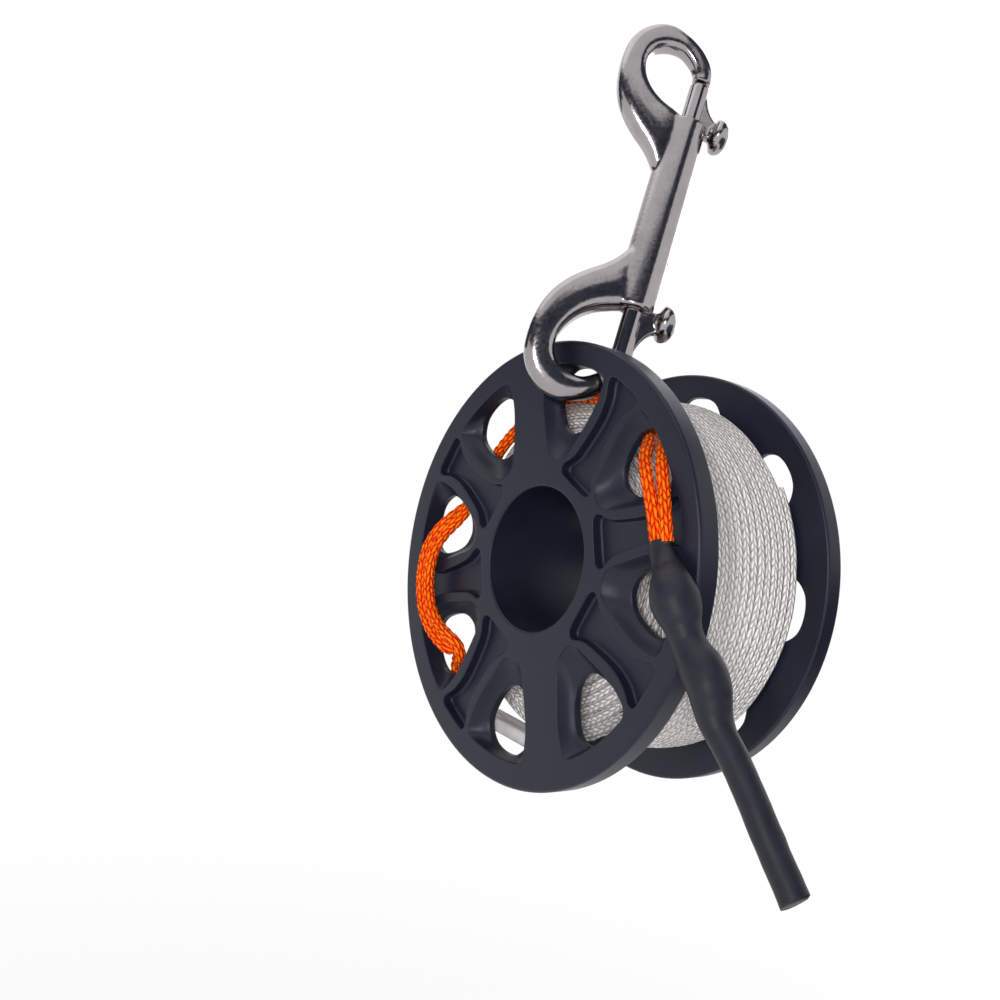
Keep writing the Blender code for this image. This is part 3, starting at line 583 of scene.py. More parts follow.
def whole_outline(half):
    other = [(r, -w) for r, w in reversed(half[1:-1])]
    return [(FLANGE_RADIUS * r, FLANGE_RADIUS * w) for r, w in (*half, *other)]


def grown(loop, distance):
    """The outline moved outwards by a distance."""
    count = len(loop)
    moved = []
    for i, p in enumerate(loop):
        way = (loop[(i + 1) % count] - loop[i - 1]).normalized()
        moved.append(p + Vector((way.y, -way.x)) * distance)
    area = sum(a.x * b.y - a.y * b.x for a, b in zip(loop, loop[1:] + loop[:1]))
    return moved if area > 0 else [2 * p - q for p, q in zip(loop, moved)]


def recess_outline():
    """The hollow between two ribs: it keeps a rib's width to the funnels beside it."""
    sides = POCKET_FACE[:-2]
    edge = []
    for i in range(RECESS_STEPS + 1):
        radius = RECESS_INNER_RADIUS
        radius += (RECESS_OUTER_RADIUS - RECESS_INNER_RADIUS) * i / RECESS_STEPS
        share = radius / FLANGE_RADIUS
        wide = 0.0
        for (r0, w0), (r1, w1) in zip(sides, sides[1:]):
            if r0 < share <= r1:
                wide = FLANGE_RADIUS * (w0 + (w1 - w0) * (share - r0) / (r1 - r0))
        if radius > RECESS_END_RADIUS:
            half = math.asin(RECESS_END_HALF_WIDTH / radius)
        else:
            half = math.pi / POCKET_COUNT - math.asin(wide / radius) - RIB_WIDTH / radius
        edge.append((radius, half))
    whole = edge + [(r, -h) for r, h in reversed(edge)]
    return [(r * math.cos(h), r * math.sin(h)) for r, h in whole]


face_loop = even_loop(smooth_curve(whole_outline(POCKET_FACE), 4), POCKET_POINTS, 2)
hole_loop = even_loop(smooth_curve(whole_outline(POCKET_HOLE), 4), POCKET_POINTS, 2)
recess_loop = even_loop(recess_outline(), RECESS_POINTS, 5)
print("outlines", len(face_loop), len(hole_loop), len(recess_loop))

# %% [markdown]
# An island is a pile of outlines at growing depths. A funnel narrows from its outline on
# the face, over a shoulder, to the outline of its hole, and widens a little at the back,
# where the real hole has a rounded edge.

# %% Islands that cut a flange
PLAIN_SPOKES = (2, 6)
SHOULDER_SHARE = 0.42
FACE_ROUND = (  # share of the edge's round: (outwards, depth)
    (1.0, -3.0), (1.0, 0.0), (0.5, 0.134), (0.134, 0.5), (0.0, 1.0),
)
SHOULDER_LEVELS = ((0.5, 1.05), (1.0, 1.9))  # (share of the way to the shoulder, depth)
HOLE_LEVELS = ((0.45, 2.55), (0.85, 3.0), (1.0, 3.3))  # (share of the way to the hole, depth)
BACK_LEVELS = ((0.0, -0.3), (0.1, -0.09), (0.3, 0.0), (0.3, 1.0))  # (outwards, past the back)
RECESS_LEVELS = ((0.0, 1.8), (0.1, 2.1), (0.35, 2.33), (0.7, 2.4))  # (inwards, depth)


def mixed_loops(first, second, share):
    return [a.lerp(b, share) for a, b in zip(first, second)]


def face_levels(loop):
    return [
        (grown(loop, EDGE_ROUND * out), EDGE_ROUND * depth) for out, depth in FACE_ROUND
    ]


def pocket_levels():
    shoulder = mixed_loops(face_loop, hole_loop, SHOULDER_SHARE)
    levels = face_levels(face_loop)
    levels += [(mixed_loops(face_loop, shoulder, s), d) for s, d in SHOULDER_LEVELS]
    levels += [(mixed_loops(shoulder, hole_loop, s), d) for s, d in HOLE_LEVELS]
    levels += [(grown(hole_loop, out), FLANGE_THICKNESS + past) for out, past in BACK_LEVELS]
    return levels


def recess_levels():
    hollow = [(grown(recess_loop, -pull), depth) for pull, depth in RECESS_LEVELS]
    return face_levels(recess_loop) + hollow


def island_rings(levels, angle):
    out = RIGHT * math.cos(angle) + UP * math.sin(angle)
    side = UP * math.cos(angle) - RIGHT * math.sin(angle)
    return [
        [(out * p.x + side * p.y + BEHIND * depth) * MM for p in loop]
        for loop, depth in levels
    ]


def make_islands(name):
    bm = bmesh.new()
    for i in range(POCKET_COUNT):
        add_loft(bm, island_rings(pocket_levels(), math.tau * i / POCKET_COUNT))
        if i not in PLAIN_SPOKES:
            angle = math.tau * (i + 0.5) / POCKET_COUNT
            add_loft(bm, island_rings(recess_levels(), angle))
    return loose_piece(name, bm, spool_plastic)


print("levels of a funnel", len(pocket_levels()), "and of a hollow", len(recess_levels()))

# %% [markdown]
# The disc itself is spun from a profile with rounded corners. Towards the line, its rim
# stands a little prouder than its web. The rear flange is the same moulding turned
# round, with hardly any step at its rim.

# %% Flanges
RIM_STEPS = {"front": 0.9, "rear": 0.1}
STEP_TOP_WIDTH, STEP_FOOT_WIDTH = 4.2, 5.0
FACE_CORNER, BACK_CORNER, BORE_CORNER = 0.9, 0.7, 0.5
FLANGE_SEGMENTS = 180


def rounded(centre, radius, start, steps=5):
    """A quarter round of a profile, from its first angle."""
    angles = [start + math.pi / 2 * i / steps for i in range(steps + 1)]
    return [(centre[0] + radius * math.cos(a), centre[1] + radius * math.sin(a)) for a in angles]


def flange_profile(step):
    rim, back = FLANGE_RADIUS, FLANGE_THICKNESS
    profile = [(BORE_RADIUS + BORE_CORNER, 0.0)]
    profile += rounded((rim - FACE_CORNER, FACE_CORNER), FACE_CORNER, -math.pi / 2)
    profile += rounded((rim - BACK_CORNER, back + step - BACK_CORNER), BACK_CORNER, 0.0)
    profile += [(rim - STEP_TOP_WIDTH, back + step), (rim - STEP_FOOT_WIDTH, back)]
    profile += [(BORE_RADIUS, back)]
    profile += rounded((BORE_RADIUS + BORE_CORNER, BORE_CORNER), BORE_CORNER, math.pi)[:-1]
    return profile


def make_flange(end):
    name = "moulded_%s_flange" % end
    profile = flange_profile(RIM_STEPS[end])
    disc = loose_piece(name, turned(profile, FLANGE_SEGMENTS, BEHIND, RIGHT), spool_plastic)
    cut(disc, make_islands(name + "_islands"))
    bm = bmesh.new()
    bm.from_mesh(disc.data)
    bpy.data.objects.remove(disc, do_unlink=True)
    if end == "rear":
        bmesh.ops.scale(bm, vec=(1, -1, 1), verts=bm.verts)
        bmesh.ops.translate(bm, vec=BEHIND * SPOOL_WIDTH * MM, verts=bm.verts)
    bmesh.ops.translate(bm, vec=REEL, verts=bm.verts)
    piece = finish_piece(name, bm, spool_plastic, "reel", end + "_flange")
    flatten_shading(piece)


for end in ("front", "rear"):
    make_flange(end)

# %% [markdown]
# The hub is a plain tube that joins the flanges. Its inside is the finger bore, smooth
# from the core pin of the mould.

# %% Hub
HUB_WALL = 3.1
HUB_RADIUS = BORE_RADIUS + HUB_WALL
HUB_END = SPOOL_WIDTH - FLANGE_THICKNESS


def turned_on_reel(profile, segments):
    bm = turned(profile, segments, BEHIND, RIGHT)
    bmesh.ops.translate(bm, vec=REEL, verts=bm.verts)
    return bm


hub_profile = [
    (BORE_RADIUS, FLANGE_THICKNESS), (HUB_RADIUS, FLANGE_THICKNESS),
    (HUB_RADIUS, HUB_END), (BORE_RADIUS, HUB_END),
]
finish_piece("moulded_hub", turned_on_reel(hub_profile, segments=128), spool_plastic,
             "reel", "hub_tube")

# %% [markdown]
# Cords are tubes with a UV map of their own: first the length along the cord in
# millimetres, then the share of the way round. For the coarse leader the stitches also
# move the surface in and out, so that they show on its outline.

# %% Cord helper
def leader_stitches(along, around):
    """The leader's height at a place, close to its material's."""
    column = math.floor(around * BRAID_COLUMNS)
    inside = around * BRAID_COLUMNS - column - 0.5
    lean = inside * (1 if column % 2 else -1) * BRAID_LEAN
    slide = along / LEADER_STITCH + lean + 0.5 * column
    strand = math.sin((slide % 1) * math.pi) ** STRAND_POWER
    return strand * math.cos(inside * math.pi) ** COLUMN_POWER


def add_cord_uv(bm, along, sides):
    bm.verts.ensure_lookup_table()
    uv = bm.loops.layers.uv.new("cord_uv")
    for face in bm.faces:
        turns = [loop.vert.index % sides for loop in face.loops]
        wraps = max(turns) - min(turns) > sides / 2
        for loop, j in zip(face.loops, turns):
            whole = j + sides if wraps and j < sides / 2 else j
            loop[uv].uv = (along[loop.vert.index // sides], whole / sides)


def make_cord(name, points, radius, sides, mat, replaced, relief=0.0):
    """A cord of a radius in mm. Relief is how far its stitches swell, in mm."""
    ways = ways_along(points)
    rings, along = [], [0.0]
    across = ways[0].orthogonal().normalized()
    for i, (point, way) in enumerate(zip(points, ways)):
        if i:
            along.append(along[-1] + (point - points[i - 1]).length / MM)
        across = (across - way * across.dot(way)).normalized()
        deep = way.cross(across)
        ring = []
        for j, angle in enumerate(ring_angles(sides)):
            swell = relief * (leader_stitches(along[-1], j / sides) - 0.5) if relief else 0
            out = across * math.cos(angle) + deep * math.sin(angle)
            ring.append(point + out * (radius + swell) * MM)
        rings.append(ring)
    bm = loft(rings)
    add_cord_uv(bm, along, sides)
    finish_piece(name, bm, mat, "reel", replaced, sharp=60)


def white_cord(name, points, radius, sides, replaced):
    make_cord(name, points, radius, sides, white_braid, replaced)


def orange_cord(name, points, radius, sides, replaced, relief):
    make_cord(name, points, radius, sides, orange_braid, replaced, relief)


print("stitch of the leader", LEADER_STITCH, "mm")

# %% [markdown]
# The spool is full of line. The turns that show are one unbroken cord here: up the side
# of the winding next to the front flange, round its shoulder and across to the rear
# flange. Hand winding is never quite even, so a slow wave moves each turn a little, and
# the last turns hang a bit loose at the low side.

# %% Wound line
LINE_RADIUS = 1.0
WOUND_RADIUS = 1.16
WINDING_TURNS = 21
TURN_POINTS = 150
WINDING_FRONT = 10.5
FRONT_RADII = (20.0, 26.0)
WINDING_OUTSIDE = ((28.0, 38.9), (39.7, 39.3))  # (along the spool, radius)
SHOULDER_RADIUS, SHOULDER_DEPTH, SHOULDER_HEIGHT = 32.0, 6.0, 6.2
SHOULDER_STEPS = 8
WINDING_START_ANGLE = math.radians(40)
LOW_SIDE_ANGLE = math.radians(-55)
WAVE_HEIGHT, WAVE_SIZE = 0.25, 2.2
DRIFT_WIDTH, DRIFT_SIZE, DRIFT_PLACE = 0.3, 1.4, 7
SAG_HEIGHT, SAG_BASE = 0.7, 0.25
GAPE_WIDTH, GAPE_START, GAPE_POWER = 0.45, 0.8, 6
TIGHT_SHARE = -0.3  # the turns below the loose last ones lean the other way


def winding_section():
    """Middle line of the outer turns: (along the spool, radius) in mm."""
    corners = [(WINDING_FRONT, radius) for radius in (*FRONT_RADII, SHOULDER_RADIUS)]
    for i in range(1, SHOULDER_STEPS + 1):
        lean = math.pi / 2 * i / SHOULDER_STEPS
        corners.append((
            WINDING_FRONT + SHOULDER_DEPTH - SHOULDER_DEPTH * math.cos(lean),
            SHOULDER_RADIUS + SHOULDER_HEIGHT * math.sin(lean),
        ))
    return [Vector(c) for c in (*corners, *WINDING_OUTSIDE)]


def wander(angle, size, height):
    """A slow wave between -1 and 1, round the spool and from turn to turn."""
    return noise.noise(Vector((math.cos(angle) * size, math.sin(angle) * size, height)))


def winding_route():
    section = even_points([(y, r, 0) for y, r in winding_section()], 0.1)
    points, steps = [], WINDING_TURNS * TURN_POINTS
    for i in range(steps + 1):
        depth, radius, _ = section[round(i / steps * (len(section) - 1))]
        angle = WINDING_START_ANGLE + math.tau * i / TURN_POINTS
        outer = clamp((radius - SHOULDER_RADIUS) / SHOULDER_DEPTH)
        low_side = max(0, math.cos(angle - LOW_SIDE_ANGLE))
        loose = 1 if i > GAPE_START * steps else TIGHT_SHARE
        radius += WAVE_HEIGHT * wander(angle, WAVE_SIZE, i / TURN_POINTS)
        radius += outer * (SAG_HEIGHT * low_side - SAG_BASE)
        depth += DRIFT_WIDTH * wander(angle, DRIFT_SIZE, DRIFT_PLACE + i / TURN_POINTS / 2)
        depth += GAPE_WIDTH * outer * low_side ** GAPE_POWER * loose
        points.append(reel_place(radius * math.cos(angle), depth, radius * math.sin(angle)))
    return points


white_cord("wound_line", winding_route(), WOUND_RADIUS, 12, "line_winding")

# %% [markdown]
# Between the outer turns only shade and a hint of fibres show, so the turns below are
# one plain turned body, painted a duller white as painted shade.

# %% Packed turns below
CORE_RADIUS = 18.8
CORE_REAR, CORE_REAR_RADIUS = 40.8, 38.4
BELOW_THE_LINE, BEHIND_THE_LINE = 0.7, 0.6


def packed_line():
    mat, tree, shader = new_material("packed_nylon_painted_shade", 0.7)
    place = node(tree, "ShaderNodeTexCoord").outputs["Object"]
    fibres = node(tree, NOISE, [("Vector", place), ("Scale", per_width(1.11)), ("Detail", 3)])
    # Painted shade: the same white nylon as the outer turns, darkened because these turns lie in
    # shade below them.
    colour = node(tree, "ShaderNodeValToRGB", [("Fac", fibres)],
                  stops=[(0.3, "#8a8783"), (0.7, "#c4c1bc")])
    bump = node(tree, "ShaderNodeBump", [
        ("Height", fibres), ("Strength", 0.6), ("Distance", 0.3 * MM),
    ])
    feed(shader, [("Base Color", colour), ("Normal", bump)])
    return mat


def packed_profile():
    outer = winding_section()
    profile = [(CORE_RADIUS, outer[0].x + BEHIND_THE_LINE)]
    profile += [(p.y - BELOW_THE_LINE, p.x + BEHIND_THE_LINE) for p in outer[1:-1]]
    return profile + [(CORE_REAR_RADIUS, CORE_REAR), (CORE_RADIUS, CORE_REAR)]


finish_piece("packed_turns", turned_on_reel(packed_profile(), segments=96), packed_line(),
             "reel", "line_core")

# %% [markdown]
# The line's tail leaves the winding, runs behind the front flange to a small black
# sleeve over its knot, and loops through the connector. The leader starts on the other
# side of the connector with a knot, is laced out and in through the flange's holes, and
# ends in the long black sleeve that a diver grips.

# %% Routes of the cords, in mm on the reel
TAIL_ROUTE = (
    (24.1, 9.9, 14.5), (24.8, 8.8, 13.2), (26.0, 7.7, 11.6), (27.6, 6.9, 9.7), (30.0, 6.6, 7.1),
    (32.1, 6.5, 5.0), (34.5, 6.8, -1.4), (35.7, 7.6, -9.0), (35.7, 8.5, -15.8),
    (34.7, 9.0, -21.4), (33.3, 9.3, -25.4), (31.6, 9.2, -28.2), (29.4, 8.9, -30.6),
)
LINE_LOOP_ROUTE = (
    (19.4, 8.2, -34.5), (16.8, 8.2, -35.8), (14.0, 8.2, -36.3), (10.8, 8.2, -35.8),
    (9.2, 8.2, -36.2), (8.5, 8.2, -37.5), (8.5, 8.2, -38.9), (8.5, 8.2, -40.4),
    (9.2, 8.2, -41.8), (11.0, 8.2, -42.6), (13.8, 8.2, -42.1), (17.0, 8.2, -40.0),
    (20.4, 8.2, -37.0),
)
KNOT_LOOP_ROUTE = (
    (-21.8, 8.3, -37.6), (-18.6, 8.2, -35.8), (-16.3, 8.2, -35.3), (-14.6, 8.2, -36.0),
    (-14.1, 8.2, -37.5), (-14.1, 8.2, -38.9), (-14.1, 8.2, -40.4), (-14.8, 8.2, -42.0),
    (-16.5, 8.2, -42.7), (-19.0, 8.2, -41.7), (-21.8, 8.3, -39.0),
)
LEADER_ROUTE = (
    (-25.1, 8.0, -35.6), (-26.6, 7.5, -32.9), (-25.8, 6.2, -30.4), (-23.6, 4.2, -28.4),
    (-21.6, 2.2, -26.8), (-21.4, 0.2, -25.4), (-23.4, -1.3, -24.2), (-27.6, -1.8, -22.3),
    (-31.6, -1.9, -19.2), (-34.4, -1.9, -14.4), (-35.5, -1.9, -9.4), (-35.6, -1.4, -5.2),
    (-35.0, 0.2, -1.2), (-34.2, 2.6, 2.2), (-33.9, 5.2, 5.6), (-34.2, 7.5, 9.2),
    (-33.2, 8.0, 13.4), (-30.3, 8.0, 19.7), (-25.1, 8.0, 26.0), (-18.6, 8.0, 31.4),
    (-11.2, 8.0, 35.3), (-3.2, 8.0, 37.2), (5.0, 8.0, 37.2), (12.4, 7.9, 35.3),
    (17.0, 7.8, 33.4), (20.6, 7.2, 31.4), (23.8, 5.2, 30.0), (26.6, 2.4, 28.2),
    (29.4, 0.0, 26.0), (32.2, -1.6, 23.4), (34.6, -2.4, 20.2), (36.4, -2.6, 16.8),
    (37.6, -2.4, 13.6), (38.3, -2.2, 11.6),
)
LEADER_TWIST = (  # how far the strands are turned from side by side, in degrees
    0, 0, 0, 0, 0, 0, 0, 0, 0, 0, 0, 0, 0, 5, 25, 46, 46, 46, 46, 46, 46, 46, 46, 46,
    46, 46, 46, 46, 44, 40, 30, 15, 5, 0,
)
print("leader route of", len(LEADER_ROUTE), "points")

# %% [markdown]
# The leader is one cord doubled, so it shows as two strands side by side. They lie one
# behind the other where they pass below the rim, and stand a little apart in the upper
# right hole, just before the sleeve gathers them.

# %% Line tail, loop and leader strands
STRAND_RADIUS, STRAND_RELIEF, STRAND_SPACING = 1.27, 0.3, 0.35
STRAND_SPREAD = 1.32
GAP_WIDTH, GAP_PLACE, GAP_LENGTH = 0.45, 27.5, 3.2  # the last two in points of the route
ROUTE_STEPS = 6


def cord_points(route, spacing):
    return even_points([reel_place(*p) for p in smooth_curve(route, 8)], spacing * MM)


def strand_points(side):
    middle = [Vector(p) for p in smooth_curve(LEADER_ROUTE, ROUTE_STEPS)]
    last = len(LEADER_TWIST) - 1
    strand = []
    for i, (point, way) in enumerate(zip(middle, ways_along(middle))):
        place, share = divmod(i / ROUTE_STEPS, 1)
        twists = LEADER_TWIST[int(place)], LEADER_TWIST[min(last, int(place) + 1)]
        twist = math.radians(between(twists, share))
        beside = way.cross(BEHIND).normalized()
        offset = beside * math.cos(twist) + beside.cross(way) * math.sin(twist)
        near_gap = max(0, 1 - abs(i / ROUTE_STEPS - GAP_PLACE) / GAP_LENGTH)
        spread = STRAND_SPREAD + GAP_WIDTH * near_gap
        strand.append(reel_place(*(point + offset * side * spread)))
    return even_points(strand, STRAND_SPACING * MM)


white_cord("line_tail_cord", cord_points(TAIL_ROUTE, 0.8), LINE_RADIUS, 16, "line_tail")
white_cord("line_loop_cord", cord_points(LINE_LOOP_ROUTE, 0.6), LINE_RADIUS, 16, "line_loop")
for strand, side in (("inner", -1), ("outer", 1)):
    orange_cord("braided_leader_" + strand, strand_points(side), STRAND_RADIUS, 24,
                "leader_strand_" + strand, STRAND_RELIEF)

# %% [markdown]
# The leader's knot takes two and a half wraps round its own standing cords. Its loop goes
# on through the connector's hole and comes back.

# %% Leader knot
KNOT_START, KNOT_LENGTH = Vector((-25.2, 8.3, -38.4)), 5.0
KNOT_WRAPS, KNOT_STEPS = 2.5, 40
KNOT_DEPTH, KNOT_HEIGHT = 1.55, 1.7
WRAP_RADIUS, LOOP_RADIUS, KNOT_RELIEF = 1.25, 1.4, 0.25


def knot_route():
    wraps = []
    for i in range(KNOT_STEPS + 1):
        share = i / KNOT_STEPS
        angle = math.tau * KNOT_WRAPS * share
        turn = Vector((0, KNOT_DEPTH * math.sin(angle), KNOT_HEIGHT * math.cos(angle)))
        wraps.append(reel_place(*(KNOT_START + RIGHT * KNOT_LENGTH * share + turn)))
    return wraps


orange_cord("knot_wraps", even_points(knot_route(), 0.3 * MM), WRAP_RADIUS, 16,
            "leader_knot", KNOT_RELIEF)
orange_cord("knot_loop", cord_points(KNOT_LOOP_ROUTE, 0.35), LOOP_RADIUS, 20,
            "leader_knot", KNOT_RELIEF)

# %% [markdown]
# The sleeves are lofted through oval sections. Their lumps stand where the knots below
# are; the long one ends in an empty, slim grip.

# %% Sleeves
SLEEVE_SIDES = 32
CREASES = ((190, 0.16), (420, 0.06))  # (how many in a metre, height in mm)


def make_sleeve(name, stations, replaced):
    """Stations are (x, y, z, half width, half depth) in mm on the reel."""
    curve = smooth_curve(stations, 10)
    points = [reel_place(*s[:3]) for s in curve]
    rings = []
    for (*_, wide, thick), point, way in zip(curve, points, ways_along(points)):
        across = way.cross(BEHIND).normalized()
        deep = across.cross(way)
        ring = []
        for angle in ring_angles(SLEEVE_SIDES):
            offset = across * wide * math.cos(angle) + deep * thick * math.sin(angle)
            place = point + offset * MM
            crease = sum(noise.noise(place * often) * height for often, height in CREASES)
            ring.append(place + offset.normalized() * crease * MM)
        rings.append(ring)
    finish_piece(name, loft(rings), shrink_sleeve, "reel", replaced, sharp=60)


make_sleeve("leader_grip_sleeve", (
    (37.7, -2.1, 11.9, 2.7, 1.4), (38.4, -2.1, 10.2, 2.8, 1.6), (39.9, -2.3, 8.6, 2.95, 2.0),
    (42.1, -2.9, 6.6, 3.6, 2.8), (45.0, -4.2, 4.5, 4.4, 4.1), (47.1, -4.6, 2.4, 4.8, 4.7),
    (48.8, -4.6, 0.3, 4.3, 4.2), (50.2, -4.4, -1.8, 3.5, 3.5), (51.9, -4.2, -4.0, 3.3, 3.3),
    (54.2, -4.2, -5.9, 3.65, 3.65), (56.8, -4.4, -7.6, 4.1, 4.1), (59.1, -4.6, -9.6, 4.1, 4.1),
    (60.4, -4.5, -12.1, 3.7, 3.7), (61.7, -4.4, -14.5, 3.3, 3.3), (63.7, -4.3, -16.6, 2.9, 2.9),
    (66.3, -4.2, -18.8, 2.75, 2.75), (70.7, -4.1, -22.7, 2.7, 2.7), (76.0, -4.0, -27.8, 2.7, 2.7),
    (81.4, -3.8, -33.1, 2.68, 2.68), (84.7, -3.8, -36.1, 2.65, 2.65),
    (85.03, -3.8, -36.4, 2.6, 2.6), (85.2, -3.8, -36.55, 2.3, 2.3),
    (85.28, -3.8, -36.63, 1.6, 1.6),
), "leader_sleeve")
make_sleeve("line_knot_sleeve", (
    (29.9, 8.9, -30.1, 1.5, 1.5), (28.5, 8.7, -31.3, 2.0, 2.0), (26.5, 8.5, -32.6, 2.8, 2.6),
    (24.5, 8.4, -33.8, 2.9, 2.7), (22.5, 8.3, -34.9, 2.5, 2.2), (19.8, 8.2, -36.2, 2.6, 1.8),
), "line_end_sleeve")

# %% [markdown]
# The connector is a flat plate with a hole at either end and a window between them. Its
# edges are bevelled as a block, before the holes are cut with rods and another block.

# %% Connector
PLATE_MIDDLE = reel_place(-3.0, 8.2, -38.9)
PLATE_SIZE = Vector((28, 6, 2.8)) * MM
WINDOW_SIZE = Vector((11, 1.6, 6)) * MM
PLATE_BEVEL = 0.6 * MM
HOLE_REACH = 3 * MM
PLATE_HOLES = (("line", 11.5, 1.35), ("leader", -11.1, 1.8))  # (name, across, radius) in mm


def make_connector():
    bm = block((0, 0, 0), PLATE_SIZE)
    bmesh.ops.bevel(bm, geom=list(bm.edges), offset=PLATE_BEVEL, segments=4, profile=0.5,
                    affect="EDGES", material=-1)
    bmesh.ops.translate(bm, vec=PLATE_MIDDLE, verts=bm.verts)
    plate = finish_piece("connector_plate", bm, clear_plate, "reel",
                         "connector")
    for name, across, radius in PLATE_HOLES:
        bm = rod(radius * MM, -HOLE_REACH, HOLE_REACH)
        bmesh.ops.translate(bm, vec=PLATE_MIDDLE + RIGHT * across * MM, verts=bm.verts)
        cut(plate, loose_piece(name + "_hole", bm, clear_plate))
    cut(plate, loose_piece("window", block(PLATE_MIDDLE, WINDOW_SIZE), clear_plate))
    flatten_shading(plate)


make_connector()

# %% [markdown]
# The snap stands on the reel at a slant. Its own frame has its height along the barrel
# and its first axis towards the hooks' backs, in millimetres, so that every part of it
# can be drawn upright. A hook is a row of sections, drawn once and used for both ends.

# %% Snap frame
SNAP_UP = Vector((-0.146, 0.227, 0.963)).normalized()
towards_backs = Vector((-0.597, -0.796, 0.097))
SNAP_BACK = (towards_backs - SNAP_UP * towards_backs.dot(SNAP_UP)).normalized()
SNAP_TURN = Matrix((SNAP_BACK, SNAP_UP.cross(SNAP_BACK), SNAP_UP)).transposed()
SNAP = Matrix.Translation(reel_place(-2.2, 17.6, 80.2)) @ SNAP_TURN.to_4x4() @ Matrix.Scale(MM, 4)
HOOK = (  # (outer across, outer along, inner across, inner along, half depth)
    (3.2, 5.5, -1.0, 16.5, 2.0), (4.9, 9.6, 0.4, 21.3, 2.8), (6.9, 12.9, 2.2, 23.8, 3.3),
    (9.3, 15.6, 5.0, 25.0, 3.5), (12.9, 18.6, 8.2, 26.5, 3.55), (16.2, 22.0, 11.0, 28.8, 3.55),
    (18.7, 26.0, 13.1, 31.8, 3.5), (20.2, 30.6, 14.3, 35.0, 3.45), (20.7, 35.7, 14.4, 37.6, 3.3),
    (20.2, 40.6, 13.6, 39.8, 3.1), (18.2, 44.7, 12.2, 41.3, 2.95), (14.8, 47.5, 10.4, 42.1, 2.85),
    (10.8, 48.6, 8.6, 42.4, 2.8), (7.0, 47.8, 6.9, 42.3, 2.75), (4.0, 46.4, 5.2, 41.3, 2.6),
    (1.2, 44.4, 3.6, 39.9, 2.5), (-1.0, 41.8, 2.6, 38.4, 2.4), (-2.1, 39.0, 2.3, 37.4, 2.3),
    (-2.3, 36.6, 2.3, 36.5, 2.3),
)
BARREL_TOP, BARREL_FOOT, BARREL_RADIUS, PIN_RADIUS = 25.4, -24.0, 4.3, 2.4
print("snap's slant %.1f degrees" % math.degrees(SNAP_UP.angle(UP)))

# %% [markdown]
# A hook's section is oval at the bend. Down the shank it turns into a flatter one with
# broad cheeks, drawn by raising the sine and cosine to a lower power. The lower hook is
# the wider one, and the upper one's opening is filled a little further.

# %% Sections of the hooks and the barrel
HOOK_WIDTHS = {1: 0.955, -1: 1.02}
HOOK_FILL, FILL_TOP, FILL_FADE = {1: 1.8, -1: 0.0}, 33, 8
FLAT_TOP, FLAT_FADE = 42, 12
OUTSIDE_POWERS, CHEEK_POWERS, INSIDE_POWER = (0.9, 0.4), (0.72, 0.38), 0.5
HOOK_CROWN = 0.25
HOOK_SIDES = 48
BARREL_EDGE = ((0.0, 0.6), (0.2, 0.2), (0.6, 0.0))  # (from the end, inset)
BARREL_RIDGE = 0.25
BARREL_SIDES = 64


def squared(value, power):
    return math.copysign(abs(value) ** power, value)


def hook_rings(end):
    rings = []
    wider, fill = HOOK_WIDTHS[end], HOOK_FILL[end]
    for outer_x, outer_z, inner_x, inner_z, deep in smooth_curve(HOOK, 8):
        inner_z += fill * clamp((FILL_TOP - inner_z) / FILL_FADE)
        outer = Vector((outer_x * wider, 0, end * outer_z))
        inner = Vector((inner_x * wider, 0, end * inner_z))
        middle, wide = (outer + inner) / 2, (outer - inner) / 2
        flat = clamp((FLAT_TOP - abs(middle.z)) / FLAT_FADE)
        ring = []
        for angle in ring_angles(HOOK_SIDES):
            outside = math.cos(angle) > 0
            power = between(OUTSIDE_POWERS, flat) if outside else INSIDE_POWER
            across = squared(math.cos(angle), power)
            crown = 1 - HOOK_CROWN * flat * max(0, across) ** 2
            cheek = squared(math.sin(angle), between(CHEEK_POWERS, flat))
            ring.append(middle + wide * across + BEHIND * deep * crown * cheek)
        rings.append(ring)
    return rings


def barrel_rings():
    """Sections of the barrel, which has a low ridge along its back."""
    stations = [(BARREL_FOOT + along, inset) for along, inset in BARREL_EDGE]
    stations += [(BARREL_TOP - along, inset) for along, inset in reversed(BARREL_EDGE)]
    rings = []
    for place, inset in stations:
        ring = []
        for angle in ring_angles(BARREL_SIDES):
            ridge = 1 + BARREL_RIDGE * max(0, math.cos(angle))
            across = Vector((math.cos(angle) * ridge, math.sin(angle), 0))
            ring.append(across * (BARREL_RADIUS - inset) + UP * place)
        rings.append(ring)
    return rings


print("sections of a hook", len(hook_rings(1)), "and of the barrel", len(barrel_rings()))

# %% [markdown]
# The snap is one casting: a barrel with a hook at each end. The three forms are joined,
# wrapped in one fine skin and smoothed, as tumbling does to the casting, and only then
# are the bores and thumb slots cut, which leaves them crisp.

# %% Snap body
BORES = ((1.5, 28), (-26, -1.5))
BORE_CLEARANCE = 0.25
SLOT_START, SLOT_END = 10.6, 27
SLOT_WIDTH, SLOT_OUTSIDE, SLOT_BOTTOM = 3.2, -6, -1


def loose_steel(name, bm):
    """A part of the casting or a cutter for it, drawn in the snap's frame."""
    bmesh.ops.transform(bm, matrix=SNAP, verts=bm.verts)
    return loose_piece(name, bm, cast_steel)


def tumble(piece, voxel, rounds):
    """One fine skin over joined forms, smoothed so many times. Voxel is in mm."""
    skin = piece.modifiers.new("skin", "REMESH")
    skin.mode = "VOXEL"
    skin.voxel_size = voxel * MM
    soften = piece.modifiers.new("soften", "SMOOTH")
    soften.factor = 0.5
    soften.iterations = rounds
    apply_modifiers(piece)


